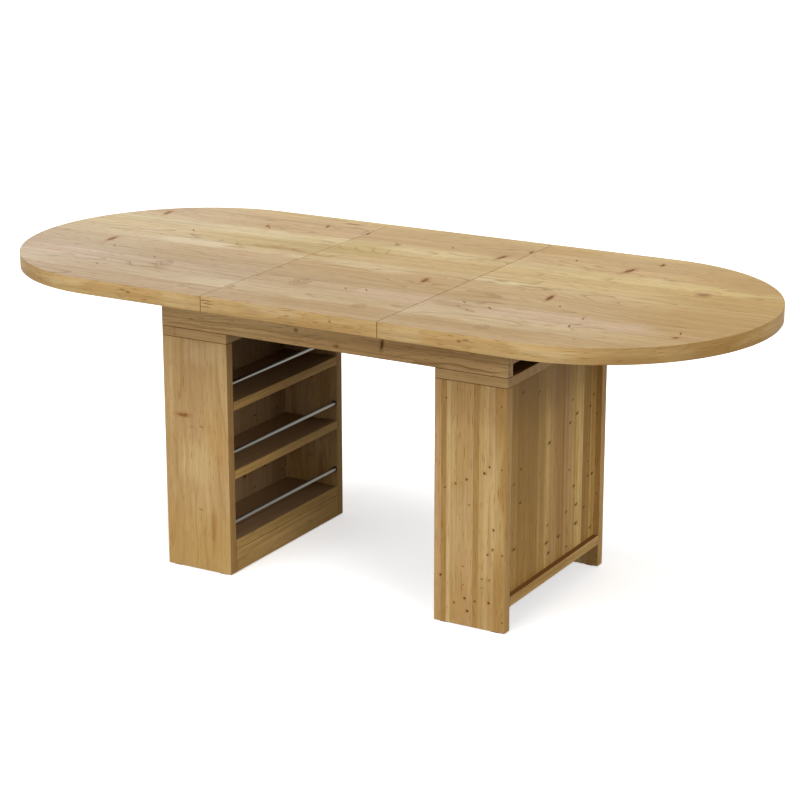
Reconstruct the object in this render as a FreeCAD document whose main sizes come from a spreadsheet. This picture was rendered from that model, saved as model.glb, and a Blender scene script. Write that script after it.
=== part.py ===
"""Extending dining table on two open shelf cabinets.

Frame: millimetres, +Z up, origin on the floor under the middle of the table.
+X runs along the table's length, +Y across it towards the rear.

The top is two rounded halves with a loose leaf between them.  The halves run on
aluminium slides inside the apron box, which stands on two cabinets that face each
other.  Boards meet in stub tenons, and each board, bar, slide and lock is its own
object.  Lengths come from the sheet of sizes; a piece that fits another takes its
size and place from the same cells.
"""
import FreeCAD
import Part
import Sketcher
import os
import re

doc = FreeCAD.newDocument("ExtendingTable")

# ---------------------------------------------------------------- driving sizes
SIZES = [
    # the top
    ("table_length", 1984, "over both rounded ends, leaf in place"),
    ("table_width", 886, "across the straight sides"),
    ("table_height", 762, "floor to the top face"),
    ("top_thickness", 39, "halves and leaf"),
    ("end_reach", 419, "length of each half-oval end"),
    ("leaf_width", 473, "leaf, seam to seam"),
    ("seam_gap", 0.5, "between the leaf and each half"),
    ("edging_thickness", 3, "lipping around the halves and along the leaf"),
    ("edging_bevel", 1.5, "bevel on the lipping's outer edges"),
    ("running_gap", 1, "between the top and the aprons"),
    ("release_travel", 40, "how far a half pulls out to free the leaf"),
    # the cabinets
    ("base_length", 950, "over the cabinets' outer faces"),
    ("cabinet_width", 188, "each cabinet, along the table"),
    ("cabinet_depth", 534, "each cabinet, across the table"),
    ("panel_thickness", 25, "front and rear panels"),
    ("top_board_thickness", 24, "board on top of the panels"),
    ("bottom_board_thickness", 24, "lowest board"),
    ("bottom_board_level", 85, "floor to its upper face"),
    ("shelf_thickness", 22, "both shelves"),
    ("middle_shelf_level", 267, "floor to its upper face"),
    ("upper_shelf_level", 443, "floor to its upper face"),
    ("plinth_thickness", 18, "toe board under the shelf side"),
    ("back_setback", 15, "back panel behind the panels' outer edges"),
    ("back_thickness", 11, "back panel"),
    ("back_groove", 5, "depth of the groove that holds the back panel"),
    ("eased_edge", 0.8, "small bevel on every board's edges"),
    ("pad_size", 20, "square floor pads"),
    ("pad_thickness", 2, "square floor pads"),
    ("pad_inset", 16, "pad from the panel's narrow edges"),
    # tenons
    ("tenon_depth", 6, "stub tenons of shelves, plinths, bearers and end rails"),
    ("tenon_shoulder", 5, "board's face to its tenon"),
    ("tenon_stop", 14, "tenon held back from an edge that shows"),
    ("spline_length", 120, "loose splines between panels and top boards"),
    ("spline_thickness", 6, "loose splines"),
    ("spline_depth", 10, "spline in each of the two boards"),
    # guard rails of the shelves
    ("rail_diameter", 10, "steel guard rail"),
    ("rail_rise", 47, "rail centre above the shelf"),
    ("rail_setback", 8.5, "rail centre behind the shelf's front edge"),
    ("rail_seat", 10, "length of rail inside each panel"),
    # the apron box
    ("apron_height", 102, "front and rear aprons"),
    ("apron_thickness", 25, "front and rear aprons"),
    ("end_rail_thickness", 25, "short rails that close the box"),
    ("slot_height", 28, "gap between the cabinet and the end rail"),
    ("bearer_thickness", 22, "cross boards that carry the slides"),
    ("bearer_inset", 12, "outer bearers behind the cabinets' inner faces"),
    ("inner_bearer_place", 105, "middle of the table to the inner bearers"),
    ("block_width", 30, "fixing blocks in the box's corners"),
    ("block_inset", 20, "fixing block behind the end rail"),
    ("block_gap", 9, "fixing block to the outer bearer"),
    ("bolt_diameter", 8, "bolts from the cabinets into the fixing blocks"),
    ("bolt_head_width", 13, "across the flats of the bolt's head"),
    ("bolt_head_height", 5, "their heads"),
    ("bolt_cover", 6, "wood above the bolt's end"),
    # slides
    ("slide_inset", 72, "apron to the track's centre line"),
    ("track_end_gap", 10, "track's end to the end rail"),
    ("track_height", 27, "aluminium track"),
    ("track_wall", 2, "its sides and lips"),
    ("track_floor", 2.5, "its floor"),
    ("channel_width", 22, "inside width of one channel"),
    ("channel_mouth", 10, "slot between the lips"),
    ("end_cap_thickness", 4, "plastic caps on the track's ends"),
    ("lip_gap", 3, "between the track's lips and the runner's flange"),
    ("flange_thickness", 3, "runner's flange under the top"),
    ("flange_inboard", 8, "flange from the runner's centre line, short side"),
    ("flange_outboard", 34, "flange from the runner's centre line, screw side"),
    ("neck_width", 6, "runner's web"),
    ("foot_width", 16, "runner's foot inside the channel"),
    ("foot_height", 15, "runner's foot inside the channel"),
    ("foot_clearance", 3, "channel floor to foot, filled by the glide shoe"),
    ("runner_reach", 20, "runner past the middle of the table"),
    ("shoe_length", 40, "glide shoe"),
    ("shoe_play", 0.2, "all around the glide shoe"),
    ("stop_play", 0.5, "runner's end to the end cap at full travel"),
    # leaf locks
    ("lock_reach", 22, "pivot from the seam"),
    ("catch_reach", 16, "catch pin from the seam"),
    ("lock_plate_length", 44, "along the table"),
    ("lock_plate_width", 36, "across the table"),
    ("lock_plate_thickness", 2, "lock plates and catch plates"),
    ("catch_plate_size", 30, "square catch plate"),
    ("pivot_diameter", 6, "lock's pivot rivet"),
    ("pivot_play", 0.05, "around the rivet, in radius"),
    ("rivet_head_diameter", 11, "under the lever"),
    ("rivet_head_thickness", 1.6, "under the lever"),
    ("lever_thickness", 3.5, "lock lever"),
    ("lever_gap", 0.3, "above and below the lever"),
    ("catch_pin_diameter", 6, "pin under the leaf"),
    ("hook_play", 0.4, "pin to the hook's slot, each side"),
    ("hook_wall", 6, "lever around the slot"),
    ("hook_mouth", 9, "pin's centre to the mouth of the slot"),
    ("hub_diameter", 22, "lever around its pivot"),
    ("lever_width", 14, "lever's arm"),
    ("thumb_reach", 30, "pivot to the lever's turned-down end"),
    ("thumb_drop", 10, "turned-down end below the lever"),
]

sheet = doc.addObject("Spreadsheet::Sheet", "Sizes")
for row, (name, size, note) in enumerate(SIZES, start=1):
    sheet.set(f"A{row}", name)
    sheet.set(f"B{row}", str(size))
    sheet.setAlias(f"B{row}", name)
    sheet.set(f"C{row}", note)
doc.recompute()

NAMES = {name for name, size, note in SIZES}

# Lengths that follow from the driving sizes.
UNDERSIDE = "(table_height - top_thickness)"
BASE_HEIGHT = f"({UNDERSIDE} - running_gap - apron_height)"
PANEL_TOP = f"({BASE_HEIGHT} - top_board_thickness)"
PANEL_HEIGHT = f"({PANEL_TOP} - pad_thickness)"
INSIDE_DEPTH = "(cabinet_depth - 2 * panel_thickness)"
BACK_INNER = "(back_setback + back_thickness)"
SHELF_WIDTH = f"(cabinet_width - {BACK_INNER})"
BOTTOM_UNDERSIDE = "(bottom_board_level - bottom_board_thickness)"
BOX_DEPTH = "(cabinet_depth - 2 * apron_thickness)"
SEAM = "(leaf_width / 2 + seam_gap)"
STRAIGHT_END = "(table_length / 2 - end_reach)"
TRACK_HALF = "(base_length / 2 - end_rail_thickness - track_end_gap)"
TRACK_WIDTH = "(2 * channel_width + 3 * track_wall)"
TRACK_BOTTOM = f"({UNDERSIDE} - flange_thickness - lip_gap - track_height)"
TRACK_LINE = "(cabinet_depth / 2 - apron_thickness - slide_inset)"
CHANNEL_PITCH = "(channel_width + track_wall)"
FOOT_BOTTOM = f"({TRACK_BOTTOM} + track_floor + foot_clearance)"
RUNNER_HEIGHT = f"({UNDERSIDE} - {FOOT_BOTTOM})"
RUNNER_END = f"({TRACK_HALF} - release_travel - stop_play)"
RUNNER_LENGTH = f"({RUNNER_END} + runner_reach)"
FLANGE_WIDTH = "(flange_inboard + flange_outboard)"
SHOE_HEIGHT = "(track_height - track_floor - track_wall - 2 * shoe_play)"
SHOE_WIDTH = "(channel_width - 2 * shoe_play)"
LOCK_LINE = "(cabinet_depth / 4 + table_width / 4)"
HOOK_RADIUS = "(lock_reach + catch_reach + seam_gap)"
SLOT_HALF = "(catch_pin_diameter / 2 + hook_play)"
SLOT_INNER = f"({HOOK_RADIUS} - {SLOT_HALF})"
SLOT_OUTER = f"({HOOK_RADIUS} + {SLOT_HALF})"
HOOK_BACK = f"({SLOT_HALF} + hook_wall)"
LEVER_REACH = f"({SLOT_OUTER} + hook_wall)"
PLATE_BOTTOM = f"({UNDERSIDE} - lock_plate_thickness)"
LEVER_BOTTOM = f"({PLATE_BOTTOM} - lever_gap - lever_thickness)"
RIVET_LENGTH = "(lever_thickness + 2 * lever_gap)"


def formula(text):
    """A formula of size names, written for the expression engine."""
    def cell(word):
        return "Sizes." + word.group(0) if word.group(0) in NAMES else word.group(0)
    return re.sub(r"[a-z]\w*_\w+", cell, text)


def number(text):
    """The number that a formula of size names gives."""
    return float(sheet.evalExpression(formula(text)))


def bind(thing, prop, text):
    thing.setExpression(prop, formula(text))


def place(thing, corner):
    for axis, text in zip("xyz", corner):
        bind(thing, f"Placement.Base.{axis}", text)


# ------------------------------------------------------------- sketch and solid
kept = []          # every finished piece, in the order it is made
cuts = []          # (feature, feature before it), to prove that each cut removes wood


def new_body(label, corner):
    body = doc.addObject("PartDesign::Body", label)
    body.Label = label
    body.AllowCompound = True
    place(body, corner)
    kept.append(body)
    return body


def new_sketch(body, plane, level="0"):
    """A sketch on one of the body's origin planes, moved along the third axis."""
    sketch = body.newObject("Sketcher::SketchObject", body.Label + "_sketch")
    support = next(f for f in body.Origin.OriginFeatures if f.Role == plane + "_Plane")
    sketch.AttachmentSupport = [(support, "")]
    sketch.MapMode = "FlatFace"
    sign = "-" if plane == "XZ" else ""
    bind(sketch, "AttachmentOffset.Base.z", f"{sign}({level})")
    return sketch


def fix(sketch, kind, element, point, text):
    """Hold a point at a distance from the sketch's origin, or on its axis if that is 0."""
    if text == "0":
        axis = -2 if kind == "DistanceX" else -1
        sketch.addConstraint(Sketcher.Constraint("PointOnObject", element, point, axis))
        return
    index = sketch.addConstraint(Sketcher.Constraint(kind, -1, 1, element, point, number(text)))
    sketch.setExpression(f"Constraints[{index}]", formula(text))


def outline(sketch, corners):
    """A closed run of straight lines through corners given as formulas."""
    points = [FreeCAD.Vector(number(x), number(y), 0) for x, y in corners]
    lines = [sketch.addGeometry(Part.LineSegment(a, b), False)
             for a, b in zip(points, points[1:] + points[:1])]
    for line, following in zip(lines, lines[1:] + lines[:1]):
        sketch.addConstraint(Sketcher.Constraint("Coincident", line, 2, following, 1))
    for line, (x, y) in zip(lines, corners):
        fix(sketch, "DistanceX", line, 1, x)
        fix(sketch, "DistanceY", line, 1, y)


def rectangle(sketch, low, size):
    (x, y), (width, height) = low, size
    right = f"({x} + {width})" if x != "0" else width
    upper = f"({y} + {height})" if y != "0" else height
    outline(sketch, [(x, y), (right, y), (right, upper), (x, upper)])


def hexagon(sketch, centre, across_flats):
    x, y = centre
    half = f"{across_flats} / 2"
    corner = f"{across_flats} / sqrt(3)"
    outline(sketch, [(f"({x} + {half})", f"({y} - {corner} / 2)"),
                     (f"({x} + {half})", f"({y} + {corner} / 2)"),
                     (x, f"({y} + {corner})"),
                     (f"({x} - {half})", f"({y} + {corner} / 2)"),
                     (f"({x} - {half})", f"({y} - {corner} / 2)"),
                     (x, f"({y} - {corner})")])


def circles(sketch, centres, diameter):
    for x, y in centres:
        circle = Part.Circle(FreeCAD.Vector(number(x), number(y), 0), FreeCAD.Vector(0, 0, 1),
                             number(diameter) / 2)
        element = sketch.addGeometry(circle, False)
        fix(sketch, "DistanceX", element, 3, x)
        fix(sketch, "DistanceY", element, 3, y)
        index = sketch.addConstraint(Sketcher.Constraint("Diameter", element, number(diameter)))
        sketch.setExpression(f"Constraints[{index}]", formula(diameter))


def pad(body, sketch, length, plane="XY"):
    """Grow a sketch along its plane's axis, always towards higher coordinates."""
    feature = body.newObject("PartDesign::Pad", body.Label + "_pad")
    feature.Profile = sketch
    feature.Reversed = plane == "XZ"
    bind(feature, "Length", length)
    return feature


def pocket(body, sketch, depth, plane, direction):
    """Cut from a sketch towards higher (+1) or lower (-1) coordinates."""
    before = body.Tip
    feature = body.newObject("PartDesign::Pocket", body.Label + "_pocket")
    feature.Profile = sketch
    feature.Reversed = (direction > 0) != (plane == "XZ")
    bind(feature, "Length", depth)
    cuts.append((feature, before))


def bore(body, plane, level, centres, diameter, depth, direction=1):
    sketch = new_sketch(body, plane, level)
    circles(sketch, centres, diameter)
    pocket(body, sketch, depth, plane, direction)


def stud(body, plane, level, centres, diameter, length):
    sketch = new_sketch(body, plane, level)
    circles(sketch, centres, diameter)
    pad(body, sketch, length, plane)


def board(label, corner, size):
    """A sawn board: a rectangle padded through its height, with all edges eased."""
    body = new_body(label, corner)
    sketch = new_sketch(body, "XY")
    rectangle(sketch, ("0", "0"), size[:2])
    solid = pad(body, sketch, size[2])
    ease = body.newObject("PartDesign::Chamfer", label + "_eased_edges")
    ease.Base = (solid, ["Edge1"])
    ease.UseAllEdges = True
    bind(ease, "Size", "eased_edge")
    return body


# ---------------------------------------------------------------------- tenons
# A tenon is a rectangle in the XZ plane: (start x, start z, width, height).  The
# board grows it at both its y ends, and the board it enters is cut to the same
# rectangle, moved by the distance between the two boards' corners.
def tenons(body, rect, length):
    x, z, width, height = rect
    for level in ("-tenon_depth", length):
        sketch = new_sketch(body, "XZ", level)
        rectangle(sketch, (x, z), (width, height))
        pad(body, sketch, "tenon_depth", "XZ")


def mortises(body, face, inward, rects):
    sketch = new_sketch(body, "XZ", face)
    for x, z, width, height in rects:
        rectangle(sketch, (x, z), (width, height))
    pocket(body, sketch, "tenon_depth", "XZ", inward)


def moved(rect, shift_x, shift_z):
    x, z, width, height = rect
    return (f"({x} + {shift_x})", f"({z} + {shift_z})", width, height)


# -------------------------------------------------------------------- cabinets
# A cabinet's own frame starts at its lowest corner.  The left one has its back
# panel at low x and its shelves open towards high x; the right one is its mirror.
SIDES = ("left", "right")
ROWS = ("front", "rear")
CABINET_START = {"left": "(-base_length / 2)", "right": "(base_length / 2 - cabinet_width)"}
CABINET_FRONT = "(-cabinet_depth / 2)"
INSIDE_FRONT = "(panel_thickness - cabinet_depth / 2)"
SHELF_LEVELS = {"lower": "bottom_board_level", "middle": "middle_shelf_level",
                "upper": "upper_shelf_level"}


def across(side, start, width="0"):
    """A place along x in the left cabinet, or its mirror in the right one."""
    if side == "left":
        return f"({start})"
    return f"(cabinet_width - ({start}) - ({width}))"


def shifted(side, start, width="0"):
    """The same place in the table's frame."""
    return f"({CABINET_START[side]} + {across(side, start, width)})"


def rail_height(level):
    return f"({SHELF_LEVELS[level]} + rail_rise)"


def shelf_tenon(side):
    """Tenon of a shelf in the shelf's own frame, stopped short of the open side."""
    width = f"({SHELF_WIDTH} - 2 * tenon_stop)"
    height = "(shelf_thickness - 2 * tenon_shoulder)"
    return ("tenon_stop", "tenon_shoulder", width, height)


BOTTOM_TENON = ("tenon_stop", "tenon_shoulder", "(cabinet_width - 2 * tenon_stop)",
                "(bottom_board_thickness - 2 * tenon_shoulder)")
PLINTH_TENON = ("tenon_shoulder", "tenon_stop", "(plinth_thickness - 2 * tenon_shoulder)",
                f"({BOTTOM_UNDERSIDE} - pad_thickness - 2 * tenon_stop)")
SPLINE_START = "(cabinet_width / 2 - spline_length / 2)"
SPLINE_INSET = "(panel_thickness / 2 - spline_thickness / 2)"


def make_panel(side, row):
    """Upright board with mortises, a groove for the back and holes for the rails."""
    front = row == "front"
    start = CABINET_FRONT if front else "(cabinet_depth / 2 - panel_thickness)"
    body = board(f"{side}_{row}_panel", (CABINET_START[side], start, "pad_thickness"),
                 ("cabinet_width", "panel_thickness", PANEL_HEIGHT))
    face, inward = ("panel_thickness", -1) if front else ("0", 1)
    rails = [(across(side, "cabinet_width - rail_setback"), f"({rail_height(level)} - pad_thickness)")
             for level in SHELF_LEVELS]
    bore(body, "XZ", face, rails, "rail_diameter", "rail_seat", inward)
    shelf_start = across(side, BACK_INNER, SHELF_WIDTH)
    rects = [moved(shelf_tenon(side), shelf_start, f"{level} - shelf_thickness - pad_thickness")
             for level in ("middle_shelf_level", "upper_shelf_level")]
    rects.append(moved(BOTTOM_TENON, "0", f"{BOTTOM_UNDERSIDE} - pad_thickness"))
    rects.append(moved(PLINTH_TENON, across(side, "cabinet_width - plinth_thickness",
                                            "plinth_thickness"), "0"))
    mortises(body, face, inward, rects)
    groove = new_sketch(body, "XZ", face)
    foot = "(bottom_board_level - pad_thickness)"
    rectangle(groove, (across(side, "back_setback", "back_thickness"), foot),
              ("back_thickness", f"({PANEL_HEIGHT} - {foot})"))
    pocket(body, groove, "back_groove", "XZ", inward)
    slot = new_sketch(body, "XY", PANEL_HEIGHT)
    rectangle(slot, (SPLINE_START, SPLINE_INSET), ("spline_length", "spline_thickness"))
    pocket(body, slot, "spline_depth", "XY", -1)


def make_top_board(side):
    """Board over both panels, grooved for the back and slotted for the splines."""
    body = board(f"{side}_top_board", (CABINET_START[side], CABINET_FRONT, PANEL_TOP),
                 ("cabinet_width", "cabinet_depth", "top_board_thickness"))
    groove = new_sketch(body, "XY")
    rectangle(groove, (across(side, "back_setback", "back_thickness"),
                       "(panel_thickness - back_groove)"),
              ("back_thickness", f"({INSIDE_DEPTH} + 2 * back_groove)"))
    pocket(body, groove, "back_groove", "XY", 1)
    slots = new_sketch(body, "XY")
    for y in (SPLINE_INSET, f"(cabinet_depth - panel_thickness + {SPLINE_INSET})"):
        rectangle(slots, (SPLINE_START, y), ("spline_length", "spline_thickness"))
    pocket(body, slots, "spline_depth", "XY", 1)
    bore(body, "XY", "0", block_bolts(side), "bolt_diameter", "top_board_thickness", 1)


def make_boards(side):
    """Bottom board, two shelves, plinth and back panel."""
    bottom = board(f"{side}_bottom_board", (CABINET_START[side], INSIDE_FRONT, BOTTOM_UNDERSIDE),
                   ("cabinet_width", INSIDE_DEPTH, "bottom_board_thickness"))
    tenons(bottom, BOTTOM_TENON, INSIDE_DEPTH)
    groove = new_sketch(bottom, "XY", "bottom_board_thickness")
    rectangle(groove, (across(side, "back_setback", "back_thickness"), "0"),
              ("back_thickness", INSIDE_DEPTH))
    pocket(bottom, groove, "back_groove", "XY", -1)
    for level in ("middle", "upper"):
        shelf = board(f"{side}_{level}_shelf",
                      (shifted(side, BACK_INNER, SHELF_WIDTH), INSIDE_FRONT,
                       f"{level}_shelf_level - shelf_thickness"),
                      (SHELF_WIDTH, INSIDE_DEPTH, "shelf_thickness"))
        tenons(shelf, shelf_tenon(side), INSIDE_DEPTH)
    plinth = board(f"{side}_plinth",
                   (shifted(side, "cabinet_width - plinth_thickness", "plinth_thickness"),
                    INSIDE_FRONT, "pad_thickness"),
                   ("plinth_thickness", INSIDE_DEPTH, f"{BOTTOM_UNDERSIDE} - pad_thickness"))
    tenons(plinth, PLINTH_TENON, INSIDE_DEPTH)
    back = new_body(f"{side}_back_panel",
                    (shifted(side, "back_setback", "back_thickness"),
                     f"{INSIDE_FRONT} - back_groove", "bottom_board_level - back_groove"))
    far = f"({INSIDE_DEPTH} + back_groove)"
    top = f"({PANEL_TOP} - bottom_board_level + 2 * back_groove)"
    face = new_sketch(back, "YZ")
    outline(face, [("back_groove", "0"), (far, "0"), (far, "back_groove"),
                   (f"({far} + back_groove)", "back_groove"), (f"({far} + back_groove)", top),
                   ("0", top), ("0", "back_groove"), ("back_groove", "back_groove")])
    pad(back, face, "back_thickness", "YZ")


def block_bolts(side):
    """Bolt centres through a cabinet's top board, in the cabinet's own frame."""
    x = across(side, f"end_rail_thickness + block_inset + {BLOCK_LENGTH} / 2")
    return [(x, "(apron_thickness + block_width / 2)"),
            (x, "(cabinet_depth - apron_thickness - block_width / 2)")]


BLOCK_LENGTH = ("(cabinet_width - end_rail_thickness - block_inset - block_gap"
                " - bearer_thickness - bearer_inset)")


def make_rails(side):
    """Steel bars that keep things on the shelves, let into the panels at both ends."""
    for level in SHELF_LEVELS:
        rail = new_body(f"{side}_{level}_rail", (CABINET_START[side], CABINET_FRONT, "0"))
        centre = (across(side, "cabinet_width - rail_setback"), rail_height(level))
        stud(rail, "XZ", "panel_thickness - rail_seat", [centre], "rail_diameter",
             f"{INSIDE_DEPTH} + 2 * rail_seat")


def make_loose_pieces():
    """Splines between the panels and the top boards, and pads under the panels."""
    splines = new_body("panel_splines", ("-base_length / 2", CABINET_FRONT,
                                         f"{PANEL_TOP} - spline_depth"))
    plan = new_sketch(splines, "XY")
    starts = ("0", "(base_length - cabinet_width)")
    for x in starts:
        for y in (SPLINE_INSET, f"(cabinet_depth - panel_thickness + {SPLINE_INSET})"):
            rectangle(plan, (f"({x} + {SPLINE_START})", y), ("spline_length", "spline_thickness"))
    pad(splines, plan, "2 * spline_depth")

    pads = new_body("floor_pads", ("-base_length / 2", CABINET_FRONT, "0"))
    plan = new_sketch(pads, "XY")
    for x in starts:
        for along in ("pad_inset", "(cabinet_width - pad_inset - pad_size)"):
            for y in ("(panel_thickness / 2 - pad_size / 2)",
                      "(cabinet_depth - panel_thickness / 2 - pad_size / 2)"):
                rectangle(plan, (f"({x} + {along})", y), ("pad_size", "pad_size"))
    pad(pads, plan, "pad_thickness")


for side in SIDES:
    for row in ROWS:
        make_panel(side, row)
    make_top_board(side)
    make_boards(side)
    make_rails(side)
make_loose_pieces()


# ------------------------------------------------------------------- apron box
BOX_FRONT = "(apron_thickness - cabinet_depth / 2)"
END_RAIL_HEIGHT = "(apron_height - slot_height)"
BEARER_HEIGHT = f"({TRACK_BOTTOM} - {BASE_HEIGHT})"
END_RAIL_STARTS = {"left": "0", "right": "(base_length - end_rail_thickness)"}
OUTER_BEARER = "(cabinet_width - bearer_inset - bearer_thickness)"
BEARER_STARTS = {
    "left_outer": OUTER_BEARER,
    "left_inner": "(base_length / 2 - inner_bearer_place - bearer_thickness / 2)",
    "right_inner": "(base_length / 2 + inner_bearer_place - bearer_thickness / 2)",
    "right_outer": f"(base_length - {OUTER_BEARER} - bearer_thickness)"}
END_RAIL_TENON = ("tenon_shoulder", "tenon_stop", "(end_rail_thickness - 2 * tenon_shoulder)",
                  f"({END_RAIL_HEIGHT} - 2 * tenon_stop)")
BEARER_TENON = ("tenon_shoulder", "tenon_stop", "(bearer_thickness - 2 * tenon_shoulder)",
                f"({BEARER_HEIGHT} - 2 * tenon_stop)")


def make_apron_box():
    """Two long aprons with end rails and bearers tenoned between them."""
    rects = [moved(END_RAIL_TENON, x, "slot_height") for x in END_RAIL_STARTS.values()]
    rects += [moved(BEARER_TENON, x, "0") for x in BEARER_STARTS.values()]
    for row, start in (("front", CABINET_FRONT),
                       ("rear", "(cabinet_depth / 2 - apron_thickness)")):
        apron = board(f"{row}_apron", ("-base_length / 2", start, BASE_HEIGHT),
                      ("base_length", "apron_thickness", "apron_height"))
        face, inward = ("apron_thickness", -1) if row == "front" else ("0", 1)
        mortises(apron, face, inward, rects)
    for side, x in END_RAIL_STARTS.items():
        rail = board(f"{side}_end_rail",
                     (f"{x} - base_length / 2", BOX_FRONT, f"{BASE_HEIGHT} + slot_height"),
                     ("end_rail_thickness", BOX_DEPTH, END_RAIL_HEIGHT))
        tenons(rail, END_RAIL_TENON, BOX_DEPTH)
    for name, x in BEARER_STARTS.items():
        bearer = board(f"{name}_bearer", (f"{x} - base_length / 2", BOX_FRONT, BASE_HEIGHT),
                       ("bearer_thickness", BOX_DEPTH, BEARER_HEIGHT))
        tenons(bearer, BEARER_TENON, BOX_DEPTH)


def make_fixing_blocks():
    """Blocks in the box's corners, each pulled down to its cabinet by a bolt."""
    blocks = new_body("fixing_blocks", ("-base_length / 2", BOX_FRONT, BASE_HEIGHT))
    plan = new_sketch(blocks, "XY")
    first = "(end_rail_thickness + block_inset)"
    for x in (first, f"(base_length - {first} - {BLOCK_LENGTH})"):
        for y in ("0", f"({BOX_DEPTH} - block_width)"):
            rectangle(plan, (x, y), (BLOCK_LENGTH, "block_width"))
    pad(blocks, plan, "block_width")
    shift = {"left": "0", "right": "(base_length - cabinet_width)"}
    centres = [(f"({shift[side]} + {x})", y) for side in SIDES for x, y in block_bolts(side)]
    holes = [(x, f"({y} - apron_thickness)") for x, y in centres]
    bore(blocks, "XY", "0", holes, "bolt_diameter", "block_width - bolt_cover", 1)

    bolts = new_body("cabinet_bolts", ("-base_length / 2", CABINET_FRONT, PANEL_TOP))
    stud(bolts, "XY", "0", centres, "bolt_diameter",
         "top_board_thickness + block_width - bolt_cover")
    heads = new_sketch(bolts, "XY", "-bolt_head_height")
    for centre in centres:
        hexagon(heads, centre, "bolt_head_width")
    pad(bolts, heads, "bolt_head_height")


make_apron_box()
make_fixing_blocks()


# ---------------------------------------------------------------------- slides
LOW_CHANNEL = "(track_wall + channel_width / 2)"
HIGH_CHANNEL = "(2 * track_wall + 3 * channel_width / 2)"


def channel(centre):
    """Corners of one channel's inside, from its right lip round to its left lip."""
    upper = "track_height"
    under_lip = "(track_height - track_wall)"
    return [(f"({centre} + channel_mouth / 2)", upper),
            (f"({centre} + channel_mouth / 2)", under_lip),
            (f"({centre} + channel_width / 2)", under_lip),
            (f"({centre} + channel_width / 2)", "track_floor"),
            (f"({centre} - channel_width / 2)", "track_floor"),
            (f"({centre} - channel_width / 2)", under_lip),
            (f"({centre} - channel_mouth / 2)", under_lip),
            (f"({centre} - channel_mouth / 2)", upper)]


def make_track(row):
    """Extruded aluminium track with two open-topped channels side by side."""
    sign = "-1" if row == "front" else "1"
    body = new_body(f"{row}_slide_track",
                    (f"-{TRACK_HALF}", f"({sign} * {TRACK_LINE} - {TRACK_WIDTH} / 2)",
                     TRACK_BOTTOM))
    section = new_sketch(body, "YZ")
    corners = [("0", "0"), (TRACK_WIDTH, "0"), (TRACK_WIDTH, "track_height")]
    corners += channel(HIGH_CHANNEL) + channel(LOW_CHANNEL)
    corners += [("0", "track_height")]
    outline(section, corners)
    pad(body, section, f"2 * {TRACK_HALF}")


def make_end_caps():
    """Plastic caps on the tracks' ends, which stop the runners."""
    caps = new_body("track_end_caps",
                    (f"-1 * {TRACK_HALF} - end_cap_thickness",
                     f"-1 * {TRACK_LINE} - {TRACK_WIDTH} / 2", TRACK_BOTTOM))
    plan = new_sketch(caps, "XY")
    for x in ("0", f"(2 * {TRACK_HALF} + end_cap_thickness)"):
        for y in ("0", f"(2 * {TRACK_LINE})"):
            rectangle(plan, (x, y), ("end_cap_thickness", TRACK_WIDTH))
    pad(caps, plan, "track_height")


def outward(side, row):
    """+1 where a runner lies and points to the rear of its track, -1 to the front.

    The left half's runners take the outer channels, the right half's the inner ones.
    """
    sign = -1 if row == "front" else 1
    return sign if side == "left" else -sign


def runner_line(side, row):
    """Centre line across the table of the channel that a runner uses."""
    sign = -1 if row == "front" else 1
    return f"({sign} * {TRACK_LINE} + {outward(side, row)} * {CHANNEL_PITCH} / 2)"


def runner_start(side):
    return f"(-1 * {RUNNER_END})" if side == "left" else "(-1 * runner_reach)"


def make_runner(side, row):
    """Aluminium runner: a foot in the channel, a web, and a flange under the top."""
    centre = "flange_outboard" if outward(side, row) < 0 else "flange_inboard"
    body = new_body(f"{side}_{row}_runner",
                    (runner_start(side), f"({runner_line(side, row)} - {centre})", FOOT_BOTTOM))
    flange_foot = f"({RUNNER_HEIGHT} - flange_thickness)"
    section = new_sketch(body, "YZ")
    outline(section, [
        (f"({centre} - foot_width / 2)", "0"), (f"({centre} + foot_width / 2)", "0"),
        (f"({centre} + foot_width / 2)", "foot_height"),
        (f"({centre} + neck_width / 2)", "foot_height"),
        (f"({centre} + neck_width / 2)", flange_foot), (FLANGE_WIDTH, flange_foot),
        (FLANGE_WIDTH, RUNNER_HEIGHT), ("0", RUNNER_HEIGHT), ("0", flange_foot),
        (f"({centre} - neck_width / 2)", flange_foot),
        (f"({centre} - neck_width / 2)", "foot_height"),
        (f"({centre} - foot_width / 2)", "foot_height")])
    pad(body, section, RUNNER_LENGTH)


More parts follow.
